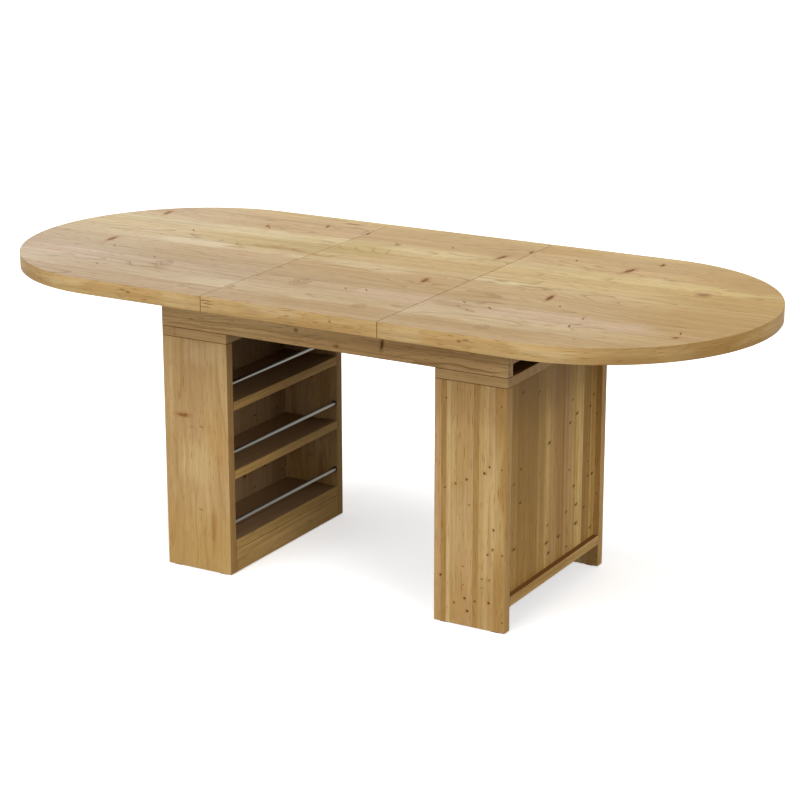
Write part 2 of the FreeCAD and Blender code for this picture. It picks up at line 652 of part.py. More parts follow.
def make_shoes(side):
    """Plastic glide shoes around both ends of each runner's foot."""
    low_line = runner_line(side, "front")
    body = new_body(f"{side}_runner_shoes",
                    (runner_start(side), f"({low_line} - {SHOE_WIDTH} / 2)",
                     f"({TRACK_BOTTOM} + track_floor + shoe_play)"))
    section = new_sketch(body, "YZ")
    foot_low = "(foot_clearance - shoe_play)"
    foot_high = f"({foot_low} + foot_height)"
    for start in ("0", f"({runner_line(side, 'rear')} - {low_line})"):
        centre = f"({start} + {SHOE_WIDTH} / 2)"
        right = f"({start} + {SHOE_WIDTH})"
        outline(section, [
            (start, "0"), (right, "0"), (right, SHOE_HEIGHT),
            (f"({centre} + neck_width / 2)", SHOE_HEIGHT),
            (f"({centre} + neck_width / 2)", foot_high),
            (f"({centre} + foot_width / 2)", foot_high),
            (f"({centre} + foot_width / 2)", foot_low),
            (f"({centre} - foot_width / 2)", foot_low),
            (f"({centre} - foot_width / 2)", foot_high),
            (f"({centre} - neck_width / 2)", foot_high),
            (f"({centre} - neck_width / 2)", SHOE_HEIGHT), (start, SHOE_HEIGHT)])
    first = pad(body, section, "shoe_length")
    repeat = body.newObject("PartDesign::LinearPattern", f"{side}_shoe_pattern")
    repeat.Originals = [first]
    repeat.Direction = (next(f for f in body.Origin.OriginFeatures if f.Role == "X_Axis"), [""])
    repeat.Occurrences = 2
    bind(repeat, "Length", f"{RUNNER_LENGTH} - shoe_length")
    body.Tip = repeat


for row in ROWS:
    make_track(row)
make_end_caps()
for side in SIDES:
    for row in ROWS:
        make_runner(side, row)
    make_shoes(side)


# --------------------------------------------------------------------- the top
def box(label, corner, size):
    solid = doc.addObject("Part::Box", label)
    for prop, text in zip(("Length", "Width", "Height"), size):
        bind(solid, prop, text)
    place(solid, corner)
    return solid


def cut(label, base, tool):
    result = doc.addObject("Part::Cut", label)
    result.Base = base
    result.Tool = tool
    result.Refine = True
    return result


def joined(kind, label, shapes):
    result = doc.addObject("Part::" + kind, label)
    result.Shapes = shapes
    result.Refine = True
    return result


def keep(label, solid):
    solid.Label = label
    kept.append(solid)


def oval_disc(label, sign, inset):
    """Elliptical disc at one end of the table, smaller by an inset all around."""
    across_reach = f"(table_width / 2 - {inset})"
    along_reach = f"(end_reach - {inset})"
    oval = doc.addObject("Part::Ellipse", label + "_oval")
    bind(oval, "MajorRadius", f"max({along_reach}; {across_reach})")
    bind(oval, "MinorRadius", f"min({along_reach}; {across_reach})")
    bind(oval, "Placement.Rotation.Angle", f"{along_reach} > {across_reach} ? 0 : 90")
    place(oval, (f"{sign} * {STRAIGHT_END}", "0", UNDERSIDE))
    disc = doc.addObject("Part::Extrusion", label + "_disc")
    disc.Base = oval
    disc.DirMode = "Custom"
    disc.Dir = FreeCAD.Vector(0, 0, 1)
    disc.Solid = True
    bind(disc, "LengthFwd", "top_thickness")
    return disc


def half_oval(label, sign, inset):
    """Half of the top: straight from the seam, then a half ellipse."""
    width = f"(table_width - 2 * {inset})"
    start = {"-1": f"-1 * {STRAIGHT_END}", "1": SEAM}[sign]
    straight = box(label + "_straight", (start, f"-{width} / 2", UNDERSIDE),
                   (f"{STRAIGHT_END} - {SEAM}", width, "top_thickness"))
    whole = joined("MultiFuse", label + "_whole", [straight, oval_disc(label, sign, inset)])
    outer_start = {"-1": "-table_length / 2", "1": SEAM}[sign]
    this_side = box(label + "_side", (outer_start, "-table_width / 2", UNDERSIDE),
                    (f"table_length / 2 - {SEAM}", "table_width", "top_thickness"))
    return joined("MultiCommon", label + "_half", [whole, this_side])


def on_outline(point):
    """Whether a point lies on the table's outline, seen from above."""
    straight = number(STRAIGHT_END)
    half_width = number("table_width") / 2
    past = max(abs(point.x) - straight, 0) / number("end_reach")
    return abs((past ** 2 + (point.y / half_width) ** 2) ** 0.5 - 1) < 1e-4


def along_outline(edge):
    """Whether an edge follows the table's outline, on the upper or the lower face."""
    middle = edge.valueAt((edge.FirstParameter + edge.LastParameter) / 2)
    upright = abs(edge.tangentAt(edge.FirstParameter).z) > 0.5
    points = [vertex.Point for vertex in edge.Vertexes] + [middle]
    return not upright and all(on_outline(point) for point in points)


def bevel_rim(label, solid):
    """Bevel the edges of a lipping that run along the table's outline."""
    doc.recompute()
    size = number("edging_bevel")
    bevelled = doc.addObject("Part::Chamfer", label)
    bevelled.Base = solid
    bevelled.Edges = [(index, size, size) for index, edge in enumerate(solid.Shape.Edges, start=1)
                      if along_outline(edge)]
    return bevelled


def make_half(side, sign):
    keep(f"{side}_top_panel", half_oval(f"{side}_core", sign, "edging_thickness"))
    lipping = cut(f"{side}_lipping", half_oval(f"{side}_outer", sign, "0"),
                  half_oval(f"{side}_inner", sign, "edging_thickness"))
    keep(f"{side}_top_edging", bevel_rim(f"{side}_bevelled_lipping", lipping))


def make_leaf():
    """Loose leaf: a plain panel with a lipping along its front and rear edges."""
    core = "(table_width - 2 * edging_thickness)"
    body = new_body("leaf_panel", ("-leaf_width / 2", f"-{core} / 2", UNDERSIDE))
    plan = new_sketch(body, "XY")
    rectangle(plan, ("0", "0"), ("leaf_width", core))
    pad(body, plan, "top_thickness")
    for row, start in (("front", "-table_width / 2"),
                       ("rear", "table_width / 2 - edging_thickness")):
        strip = box(f"leaf_{row}_strip", ("-leaf_width / 2", start, UNDERSIDE),
                    ("leaf_width", "edging_thickness", "top_thickness"))
        keep(f"leaf_{row}_edging", bevel_rim(f"leaf_{row}_bevelled", strip))


make_half("left", "-1")
make_half("right", "1")
make_leaf()


# ------------------------------------------------------------------ leaf locks
LOCK_YS = ("0", f"(2 * {LOCK_LINE})")


def make_lock_plates(side):
    """Two steel plates under a half, each with the rivet that its lever turns on."""
    sign = "-1" if side == "left" else "1"
    low_x = f"({sign} * ({SEAM} + lock_reach) - lock_plate_length / 2)"
    low_y = f"(-1 * {LOCK_LINE} - lock_plate_width / 2)"
    body = new_body(f"{side}_lock_plates", (low_x, low_y, PLATE_BOTTOM))
    plan = new_sketch(body, "XY")
    for y in LOCK_YS:
        rectangle(plan, ("0", y), ("lock_plate_length", "lock_plate_width"))
    pad(body, plan, "lock_plate_thickness")
    centres = [("(lock_plate_length / 2)", f"(lock_plate_width / 2 + {y})") for y in LOCK_YS]
    stud(body, "XY", f"-1 * {RIVET_LENGTH}", centres, "pivot_diameter", RIVET_LENGTH)
    stud(body, "XY", f"-1 * {RIVET_LENGTH} - rivet_head_thickness", centres,
         "rivet_head_diameter", "rivet_head_thickness")


def make_catches():
    """Four catch plates under the leaf, and the plain pins that stand in them."""
    half = "(leaf_width / 2 - catch_reach)"
    low_x = f"(-1 * {half} - catch_plate_size / 2)"
    low_y = f"(-1 * {LOCK_LINE} - catch_plate_size / 2)"
    spots = [(x, y) for x in ("0", f"(2 * {half})") for y in LOCK_YS]
    plates = new_body("leaf_catch_plates", (low_x, low_y, PLATE_BOTTOM))
    plan = new_sketch(plates, "XY")
    for spot in spots:
        rectangle(plan, spot, ("catch_plate_size", "catch_plate_size"))
    pad(plates, plan, "lock_plate_thickness")
    pins = new_body("leaf_catch_pins", (low_x, low_y, PLATE_BOTTOM))
    centres = [(f"(catch_plate_size / 2 + {x})", f"(catch_plate_size / 2 + {y})")
               for x, y in spots]
    length = f"({RIVET_LENGTH} + rivet_head_thickness)"
    stud(pins, "XY", f"-1 * {length}", centres, "catch_pin_diameter", length)


def hook_outline():
    """Lever seen from above: places along it from its thumb end, and across it from
    the mouth of its slot.  The pin swings in on an arc about the pivot, so the slot's
    inner wall slants away from it towards the mouth."""
    def along(reach):
        return f"(thumb_reach + {reach})"

    def aside(distance):
        return f"(hook_mouth + {distance})"

    mouth = f"sqrt({SLOT_INNER} ^ 2 - hook_mouth ^ 2)"
    arm_end = f"({SLOT_INNER} - hook_wall)"
    nose = "(hook_wall / 2)"
    return [("0", aside("-lever_width / 2")),
            (along(arm_end), aside("-lever_width / 2")),
            (along(f"{SLOT_INNER} - {nose}"), "0"),
            (along(mouth), "0"),
            (along(SLOT_INNER), "hook_mouth"),
            (along(SLOT_INNER), aside(SLOT_HALF)),
            (along(SLOT_OUTER), aside(SLOT_HALF)),
            (along(SLOT_OUTER), "0"),
            (along(f"{LEVER_REACH} - {nose}"), "0"),
            (along(LEVER_REACH), nose),
            (along(LEVER_REACH), aside(f"{HOOK_BACK} - {nose}")),
            (along(f"{LEVER_REACH} - {nose}"), aside(HOOK_BACK)),
            (along(SLOT_INNER), aside(HOOK_BACK)),
            (along(arm_end), aside("lever_width / 2")),
            ("0", aside("lever_width / 2"))]


def make_lever(side, row):
    """Lock lever: a hub, an arm to a slotted hook, and a turned-down thumb tab.

    It lies along the seam, unlatched, with its hook towards the middle of the table
    and its slot open towards the leaf.
    """
    length = f"(thumb_reach + {LEVER_REACH})"
    span = f"(hook_mouth + {HOOK_BACK})"

    def spot(point):
        along, aside = point
        x = aside if side == "right" else ("0" if aside == span else f"({span} - {aside})")
        y = along if row == "front" else f"({length} - {along})"
        return x, y

    low_x = {"left": f"(-1 * {SEAM} - lock_reach - {HOOK_BACK})",
             "right": f"({SEAM} + lock_reach - hook_mouth)"}[side]
    low_y = {"front": f"(-1 * {LOCK_LINE} - thumb_reach)",
             "rear": f"({LOCK_LINE} - {LEVER_REACH})"}[row]
    body = new_body(f"{side}_{row}_lock_lever", (low_x, low_y, LEVER_BOTTOM))
    plan = new_sketch(body, "XY")
    outline(plan, [spot(point) for point in hook_outline()])
    pad(body, plan, "lever_thickness")
    pivot = spot(("thumb_reach", "hook_mouth"))
    stud(body, "XY", "0", [pivot], "hub_diameter", "lever_thickness")
    bore(body, "XY", "0", [pivot], "(pivot_diameter + 2 * pivot_play)", "lever_thickness")
    thumb = new_sketch(body, "XY", "-1 * thumb_drop")
    low_side, high_side = "(hook_mouth - lever_width / 2)", "(hook_mouth + lever_width / 2)"
    outline(thumb, [spot(point) for point in (
        ("0", low_side), ("lever_thickness", low_side),
        ("lever_thickness", high_side), ("0", high_side))])
    pad(body, thumb, "thumb_drop")


for side in SIDES:
    make_lock_plates(side)
    for row in ROWS:
        make_lever(side, row)
make_catches()


# ------------------------------------------------------------- check and export
doc.recompute()
for thing in doc.Objects:
    if "Invalid" in thing.State or "Error" in thing.State:
        raise RuntimeError(f"{thing.Label}: {thing.State}")
for feature, before in cuts:
    if not feature.Shape.Volume < before.Shape.Volume - 0.01:
        raise RuntimeError(f"{feature.Label} removes nothing")
os.makedirs("parts", exist_ok=True)
for thing in kept:
    shape = thing.Shape
    if shape.isNull() or not shape.isValid() or not shape.Solids:
        raise RuntimeError(f"{thing.Label} has no valid solid")
    shape.exportStep(f"parts/{thing.Label}.step")
print(len(kept), "pieces written")
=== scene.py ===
"""Looks of the extending table: woods, metals, small fittings and the studio."""
import math
from collections import namedtuple

import bmesh
import bpy
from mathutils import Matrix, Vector


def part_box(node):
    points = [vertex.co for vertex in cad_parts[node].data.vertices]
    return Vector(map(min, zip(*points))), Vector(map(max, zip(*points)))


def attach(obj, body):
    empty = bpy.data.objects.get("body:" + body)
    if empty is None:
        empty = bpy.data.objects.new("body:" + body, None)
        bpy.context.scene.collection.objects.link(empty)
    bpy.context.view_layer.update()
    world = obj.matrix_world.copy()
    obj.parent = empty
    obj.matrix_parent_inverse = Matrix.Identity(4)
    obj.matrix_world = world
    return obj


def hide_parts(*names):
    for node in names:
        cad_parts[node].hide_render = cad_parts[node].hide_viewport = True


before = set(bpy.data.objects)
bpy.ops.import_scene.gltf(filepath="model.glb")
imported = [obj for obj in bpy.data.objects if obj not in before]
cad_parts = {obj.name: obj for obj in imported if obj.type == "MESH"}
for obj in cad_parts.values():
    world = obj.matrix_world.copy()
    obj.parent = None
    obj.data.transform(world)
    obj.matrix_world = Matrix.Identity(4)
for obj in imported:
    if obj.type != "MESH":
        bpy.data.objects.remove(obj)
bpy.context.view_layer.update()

# ============================================================ upright panels
# Four solid softwood uprights carry the table.  The left cabinet's pair are wide
# boards with a quiet grain; the right cabinet's pair are glued up from narrow staves
# full of pin knots.  All are planed, sanded and satin lacquered, with upright grain.

MM = 0.001
ORIGIN = (0.0, 0.0, 0.0)


class Wire:
    """A value on its way between two nodes.  It takes part in sums as a number does."""

    def __init__(self, socket):
        self.socket, self.tree = socket, socket.id_data

    def __add__(self, other):
        return reckon("ADD", self, other)

    def __sub__(self, other):
        return reckon("SUBTRACT", self, other)

    def __rsub__(self, other):
        return reckon("SUBTRACT", other, self)

    def __mul__(self, other):
        return reckon("MULTIPLY", self, other)

    def __truediv__(self, other):
        return reckon("DIVIDE", self, other)

    def __pow__(self, other):
        return reckon("POWER", self, other)

    def __abs__(self):
        return reckon("ABSOLUTE", self)


def node(tree, kind, feeds, *outputs, **settings):
    """A node with its properties set and its inputs fed by values or wires.  It gives
    back the outputs asked for, or else the first."""
    made = tree.nodes.new(kind if "Node" in kind else "ShaderNode" + kind)
    for name, value in settings.items():
        setattr(made, name, value)
    for name, feed in feeds.items():
        if isinstance(feed, Wire):
            tree.links.new(feed.socket, made.inputs[name])
        else:
            made.inputs[name].default_value = feed
    wires = [Wire(made.outputs[name]) for name in outputs or (0,)]
    return wires if len(wires) > 1 else wires[0]


def reckon(operation, *feeds):
    """One sum of wires and numbers, on vectors where the first wire carries one."""
    first = next(feed for feed in feeds if isinstance(feed, Wire))
    kind = "Math" if first.socket.type == "VALUE" else "VectorMath"
    gives = int(operation in ("LENGTH", "DISTANCE"))
    return node(first.tree, kind, dict(enumerate(feeds)), gives, operation=operation)


def split(place):
    return node(place.tree, "SeparateXYZ", {0: place}, 0, 1, 2)


def ease(value, low, high, start=0.0, end=1.0):
    """A smooth step from start to end while the value goes from low to high."""
    return node(value.tree, "MapRange",
                {"Value": value, "From Min": low, "From Max": high, "To Min": start,
                 "To Max": end}, interpolation_type="SMOOTHSTEP")


def fade(value, low, high, start=1.0):
    """The same step downwards, to nothing."""
    return ease(value, low, high, start, 0.0)


def shade(code):
    """A colour written as six hexadecimal digits, as the renderer's linear numbers."""
    parts = [int(code[i:i + 2], 16) / 255 for i in (0, 2, 4)]
    linear = [c / 12.92 if c <= 0.04045 else ((c + 0.055) / 1.055) ** 2.4 for c in parts]
    return (*linear, 1.0)


def blend(share, first, second, how="MIX"):
    """Two colours blended.  A colour is a wire, four numbers or six digits."""
    first, second = (shade(c) if isinstance(c, str) else c for c in (first, second))
    tree = next(feed.tree for feed in (share, first, second) if isinstance(feed, Wire))
    return node(tree, "Mix", {0: share, 6: first, 7: second}, 2, data_type="RGBA",
                blend_type=how)


def cloud(place, detail, roughness=0.5, scale=1.0):
    return node(place.tree, "TexNoise", {"Vector": place, "Scale": scale, "Detail": detail,
                                         "Roughness": roughness})


def turned(place, angle):
    return node(place.tree, "VectorRotate", {"Vector": place, "Angle": angle},
                rotation_type="Z_AXIS")


INPUT_KINDS = {tuple: "Vector", float: "Float", int: "Int", type(None): "Geometry"}
OUTPUT_KINDS = {"VALUE": "Float", "VECTOR": "Vector", "RGBA": "Color", "GEOMETRY": "Geometry"}


def start_tree(kind, name, inputs):
    """A node tree with named inputs, and each of those as a wire."""
    tree = bpy.data.node_groups.new(name, kind)
    for title, value in inputs.items():
        socket = tree.interface.new_socket(
            name=title, in_out="INPUT", socket_type="NodeSocket" + INPUT_KINDS[type(value)])
        if value is not None:
            socket.default_value = value
    source = tree.nodes.new("NodeGroupInput").outputs
    return tree, [Wire(source[title]) for title in inputs]


def end_tree(tree, titles, wires):
    """Gives a node tree its outputs, each of the kind that its wire carries."""
    for title, wire in zip(titles, wires):
        tree.interface.new_socket(name=title, in_out="OUTPUT",
                                  socket_type="NodeSocket" + OUTPUT_KINDS[wire.socket.type])
    result = tree.nodes.new("NodeGroupOutput").inputs
    for title, wire in zip(titles, wires):
        tree.links.new(wire.socket, result[title])


def effect(name, outputs, **inputs):
    """Makes a function of wires a shader node group, built once.  Calling it by its
    name afterwards places that group in a material with values of its own."""
    def build(recipe):
        titles = outputs.split()
        group, wires = start_tree("ShaderNodeTree", name,
                                  {title.capitalize(): value for title, value in inputs.items()})
        made = recipe(*wires)
        end_tree(group, titles, [made] if isinstance(made, Wire) else made)

        def place_effect(**feeds):
            tree = next(feed.tree for feed in feeds.values() if isinstance(feed, Wire))
            feeds = {title.capitalize(): feed for title, feed in feeds.items()}
            return node(tree, "Group", feeds, *titles, node_tree=group)
        return place_effect
    return build


@effect("grain_wander", "Soft Fine", position=ORIGIN)
def wander(position):
    """The place with a natural wobble: soft for patches of tone, fine for knots."""
    moved = []
    for stretch, reach in (((5.0, 19.0, 19.0), 0.075), ((110.0, 110.0, 110.0), 0.007)):
        chance = node(position.tree, "TexNoise", {"Vector": position * stretch, "Scale": 1.0,
                                                  "Detail": 2.0}, "Color")
        moved.append((chance - (0.5, 0.5, 0.5)) * (reach, reach, 0.0) + position)
    return moved


# How often each pattern changes in a metre along and across the grain, its detail
# and its roughness.
GRAIN = {"drift": (1.1, 6.5, 1.0, 0.35), "ripple": (10.0, 38.0, 1.0, 0.5),
         "breaks": (3.5, 24.0, 2.0, 0.5), "streak": (1.5, 90.0, 3.0, 0.6),
         "fibre": (13.0, 420.0, 3.0, 0.62), "pore": (26.0, 330.0, 1.0, 0.5),
         "broad": (2.4, 13.0, 2.0, 0.5)}


@effect("wood_figure", "Line Streak Fibre Pore Cloud", position=ORIGIN, seed=0.0, rings=20.0,
        waves=1.0, bend=0.0)
def figure(position, seed, rings, waves, bend):
    """Growth rings, streaks, fibres, short dark pores and broad changes of tone.  The
    position runs along the grain in X, across the board in Y and into it in Z."""
    place = position + node(position.tree, "CombineXYZ",
                            {"X": seed * 7.3, "Y": seed * 3.1, "Z": seed * 5.7})
    part = {name: cloud(place * (along, across, across), detail, roughness)
            for name, (along, across, detail, roughness) in GRAIN.items()}
    field = split(place)[1] * 2.2 + (part["drift"] * waves + (part["ripple"] * 0.03 + bend))
    ring = reckon("FRACT", field * rings)
    line = ring ** 9.0 * fade(ring, 0.96, 1.0)
    return (line * ease(part["breaks"], 0.34, 0.6), ease(part["streak"], 0.36, 0.66),
            part["fibre"], ease(part["pore"], 0.62, 0.7), ease(part["broad"], 0.32, 0.68))


@effect("glued_staves", "Tone Tint Joint Shift", position=ORIGIN, width=0.025, length=2.0,
        unevenness=0.3, seed=0.0)
def staves(position, width, length, unevenness, seed):
    """Boards glued edge to edge and end to end: a random tone and tint for each, and
    a thin joint line between them."""
    def cells(place, randomness, output, feature="F1"):
        return node(position.tree, "TexVoronoi",
                    {"W": place, "Scale": 1.0, "Randomness": randomness}, output,
                    voronoi_dimensions="1D", feature=feature)

    along, across, _ = split(position)
    row_at = across / width + seed
    start = split(cells(row_at, unevenness, "Color"))[0] * 23.0
    piece = cells(along / length + start, 0.7, "Color")
    gap = cells(row_at, unevenness, "Distance", "DISTANCE_TO_EDGE") * width
    tone, tint, _ = split(piece)
    return tone, tint, fade(gap, 0.2 * MM, 1.1 * MM), piece * (9.0, 5.0, 7.0)


@effect("pin_knots", "Core Halo", position=ORIGIN, spacing=0.08, size=0.003, share=0.4,
        stretch=1.0, seed=0.0)
def pin_knots(position, spacing, size, share, stretch, seed):
    """Small round knots scattered through a board, each with a paler brown halo."""
    along, across, _ = split(position)
    flat = node(position.tree, "CombineXYZ", {"X": along + seed, "Y": across / stretch})
    chance, distance = node(position.tree, "TexVoronoi",
                            {"Vector": flat / spacing, "Scale": 1.0, "Randomness": 0.9},
                            "Color", "Distance", voronoi_dimensions="2D")
    lot, growth, _ = split(chance)
    wanted = reckon("LESS_THAN", lot, share)
    reach = distance * spacing / (size * (growth + 0.45))
    return [fade(reach, near, far) * wanted for near, far in ((0.55, 1.1), (0.9, 2.8))]


OVAL = {"position": ORIGIN, "centre": ORIGIN, "length": 0.01, "width": 0.01, "turn": 0.0,
        "depth": 1.0}


def oval_reach(position, centre, length, width, turn):
    """The way from an oval's centre, and how far out that is: 1 on the oval itself."""
    flat = (position - centre) * (1.0, 1.0, 0.0)
    along, across, _ = split(turned(flat, turn))
    oval = node(flat.tree, "CombineXYZ", {"X": along / length, "Y": across / width})
    return flat, reckon("LENGTH", oval)


@effect("single_knot", "Core Halo Bend", **OVAL, core=0.0, halo=0.0, bend=0.0)
def knot(position, centre, length, width, turn, depth, core, halo, bend):
    """One knot at a place of its own, added to the knots before it.  The growth rings
    swing out around it."""
    flat, reach = oval_reach(position, centre, length, width, turn)
    rings = reckon("SINE", reach * 16.0) * 0.14 + 0.86
    along, across, _ = split(flat)
    lens = node(flat.tree, "CombineXYZ", {"X": along / (length + 0.06),
                                          "Y": across / (width + 0.02)})
    swing = across * fade(reckon("LENGTH", lens), 0.2, 1.7, -2.4)
    return (reckon("MAXIMUM", fade(reach, 0.6, 1.1) * depth * rings, core),
            reckon("MAXIMUM", fade(reach, 0.8, 2.2) * depth, halo), bend + swing)


@effect("tone_patch", "Mask", position=ORIGIN, centre=ORIGIN, length=0.1, width=0.05, blur=0.3,
        depth=1.0)
def patch(position, centre, length, width, blur, depth):
    """A soft-edged, nearly square patch where a board's tone differs."""
    along, across, _ = split(position - centre)
    reach = (abs(along / length) ** 4.0 + abs(across / width) ** 4.0) ** 0.25
    return fade(reach, 1.0 - blur, blur + 1.0) * depth


def start_material(name):
    """A new material, and the table's own coordinates in it."""
    material = bpy.data.materials.new(name)
    material.use_nodes = True
    material.node_tree.nodes.clear()
    return material, node(material.node_tree, "TexCoord", {}, "Object")


def finish(colour, gloss, relief, strength, depth, **values):
    """The surface: its colour, its roughness and a fine relief."""
    bump = node(colour.tree, "Bump", {"Strength": strength, "Distance": depth,
                                      "Height": relief})
    surface = node(colour.tree, "BsdfPrincipled",
                   {"Base Color": colour, "Roughness": gloss, "Normal": bump, **values})
    show(surface)


def show(shader, output="ShaderNodeOutputMaterial"):
    shader.tree.links.new(shader.socket, shader.tree.nodes.new(output).inputs["Surface"])


def board_axes(table, order):
    """Coordinates with the grain in X.  The order names the table's axes that lie along
    the grain, across the board and into it, such as ZXY."""
    axes = dict(zip("XYZ", split(table)))
    return node(table.tree, "CombineXYZ", {to: axes[axis] for to, axis in zip("XYZ", order)})


def oval(place, along, across, length, width):
    """An oval's middle and half sizes, from mm."""
    return {"position": place, "centre": (along * MM, across * MM, 0.0),
            "length": length * MM, "width": width * MM}


def place_knots(place, knots):
    """A chain of knots: (along, across, half length, half width, turn, depth) in mm."""
    core, halo, bend = 0.0, 0.0, 0.0
    for *measures, turn, depth in knots:
        core, halo, bend = knot(**oval(place, *measures), turn=math.radians(turn),
                                depth=depth, core=core, halo=halo, bend=bend)
    return core, halo, bend


def lay_patches(place, colour, patches):
    """Patches of tone: (along, across, half length, half width, blur, tone, depth) in mm."""
    for *measures, blur, tone, depth in patches:
        mask = patch(**oval(place, *measures), blur=blur, depth=depth)
        colour = blend(mask, colour, tone)
    return colour


def lay_joints(table, colour, joints):
    """The thin dark line where two boards meet, part dust in the joint and part painted
    shade of the gap, given by an axis of the table and its distance from the middle in mm."""
    for axis, place in joints:
        away = abs(abs(split(table)["XYZ".index(axis)]) - place * MM)
        # Painted shade with some dust: the joint line is darkened in the colour itself.
        colour = blend(fade(away, 0.4 * MM, 1.5 * MM, 0.8), colour, "4f351b")
    return colour


# The tones of lines, halos and cores, and how strong each effect is.
Look = namedtuple("Look", "line halo core lines streaks fibres pores gloss sheen",
                  defaults=(0.5, 0.46, 0.05))


def finish_wood(colour, grown, core, halo, look):
    """Lines, fibres, pores and knots over a board's base colour, under lacquer."""
    line, streak, fibre, pore, _ = grown
    colour = blend(streak * look.streaks, colour, look.line)
    colour = blend(line * look.lines, colour, look.line)
    grey = ease(fibre, 0.3, 0.7, 1.0 - look.fibres, 1.0 + look.fibres)
    grey = node(colour.tree, "CombineColor", {0: grey, 1: grey, 2: grey})
    colour = blend(1.0, colour, grey, "MULTIPLY")
    for share, tone in ((pore * look.pores, look.halo), (halo * 0.55, look.halo),
                        (core, look.core)):
        colour = blend(share, colour, tone)
    finish(colour, fibre * 0.12 + look.gloss, fibre - (line * 0.5 + pore), 0.35, 0.2 * MM,
           **{"Specular IOR Level": look.sheen})


def make_board(name, order, tones, rings, seed, look, knots=(), waves=1.0, patches=(),
               sharp=(), joints=(), seam=None):
    """A solid board with growth rings of its own.  Patches have wandering edges, and
    sharp ones straight edges."""
    pale, deep = tones
    material, table = start_material(name)
    if order == "along_edge":
        place = node(table.tree, "UVMap", {}, uv_map=order)
    else:
        place = board_axes(table, order)
    soft, fine = wander(position=place)
    core, halo, bend = place_knots(fine, knots)
    grown = figure(position=place, seed=seed, rings=rings, waves=waves, bend=bend)
    colour = lay_patches(soft, blend(grown[-1], deep, pale), patches)
    colour = lay_joints(table, lay_patches(place, colour, sharp), joints)
    finish_wood(seam(table, place, colour) if seam else colour, grown, core, halo, look)
    return material


def dress(material, *names):
    for name in names:
        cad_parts[name].data.materials.clear()
        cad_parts[name].data.materials.append(material)


PANEL_TOP = 596
QUIET_LOOK = Look("9a7038", "a06c38", "7a4520", lines=0.55, streaks=0.22, fibres=0.07, gloss=0.44)
QUIET_PANEL = make_board(
    "quiet_panel_wood", "ZXY", ("d0b07c", "c09d6b"), 13.0, 1.0, QUIET_LOOK, waves=0.8,
    knots=[(399, -420, 5, 18, 2, 0.75), (120, -337, 48, 5, 0, 0.3), (372, -396, 3, 7, 0, 0.25),
           (160, -372, 3, 6, 0, 0.4), (376, -366, 3, 5, 0, 0.4)],
    # The broad deeper patch across the foot and the pale one near the top are painted shade and
    # light: darker at the foot, lighter near the top.
    patches=[(285, -372, 50, 28, 0.4, "d6bb85", 0.55), (60, -380, 90, 110, 0.6, "b8934f", 0.55),
             (470, -400, 120, 40, 0.6, "bf9c70", 0.4), (120, -337, 55, 8, 0.5, "b07f4c", 0.5),
             (240, -430, 300, 12, 0.7, "b38e58", 0.4), (350, -330, 70, 26, 0.6, "c79f62", 0.5),
             (190, -415, 60, 24, 0.5, "ab8650", 0.35), (560, -350, 26, 60, 0.6, "d6b98c", 0.4)],
    # Painted shade: the narrow edge at the cabinet's open side is darkened.
    sharp=[(300, -287, 400, 0.6, 0.2, "aa8450", 0.9)], joints=[("Z", PANEL_TOP)])
dress(QUIET_PANEL, "left_front_panel", "left_rear_panel")

FAR = 9.0


def place_pins(place, stretch, pins):
    """Pin knots at places of their own, (along, across, half length) in mm.  All are
    wider across the grain than along it by the same stretch."""
    squeezed = place * (1.0, 1.0 / stretch, 0.0)
    reach = FAR
    for along, across, size in pins:
        away = reckon("DISTANCE", squeezed, (along * MM, across * MM / stretch, 0.0))
        reach = reckon("MINIMUM", reach, away / (size * MM))
    return fade(reach, 0.4, 1.0, 0.95), fade(reach, 0.7, 1.9, 0.8)


def make_staved(name, order, width, tones, pins, scatter, seed, look, patches, painted_shade_depth=0.0):
    """Staves of changing tone with pin knots, some placed and some scattered.  The faces
    nearer to the table's middle than the given depth, inside the cabinets, get painted shade."""
    pale, mid, rosy, deep = tones
    material, table = start_material(name)
    place = board_axes(table, order)
    soft, fine = wander(position=place)
    tone, tint, joint, shift = staves(position=place, width=width, length=9.0,
                                      unevenness=0.5, seed=seed)
    core, halo = place_pins(fine, scatter["stretch"], pins)
    small_core, small_halo = pin_knots(position=fine, seed=seed, **scatter)
    core = reckon("MAXIMUM", core, small_core * 0.8)
    halo = reckon("MAXIMUM", halo, small_halo)
    grown = figure(position=place + shift, seed=seed, rings=16.0, waves=0.7)
    colour = blend(ease(tone, 0.1, 0.9), mid, pale)
    for share, second in ((ease(tint, 0.66, 0.84), rosy), (ease(tint, 0.28, 0.1), deep),
                          (grown[-1] * 0.35, mid), (joint * 0.28, look.line)):
        colour = blend(share, colour, second)
    colour = lay_patches(soft, colour, patches)
    # Painted shade on the faces inside the cabinets.
    inside = fade(abs(split(table)[0]), painted_shade_depth + 0.3 * MM, painted_shade_depth + 0.6 * MM, 0.85)
    colour = lay_joints(table, blend(inside, colour, "95795c"), [("Z", PANEL_TOP)])
    finish_wood(colour, grown, core, halo, look)
    return material


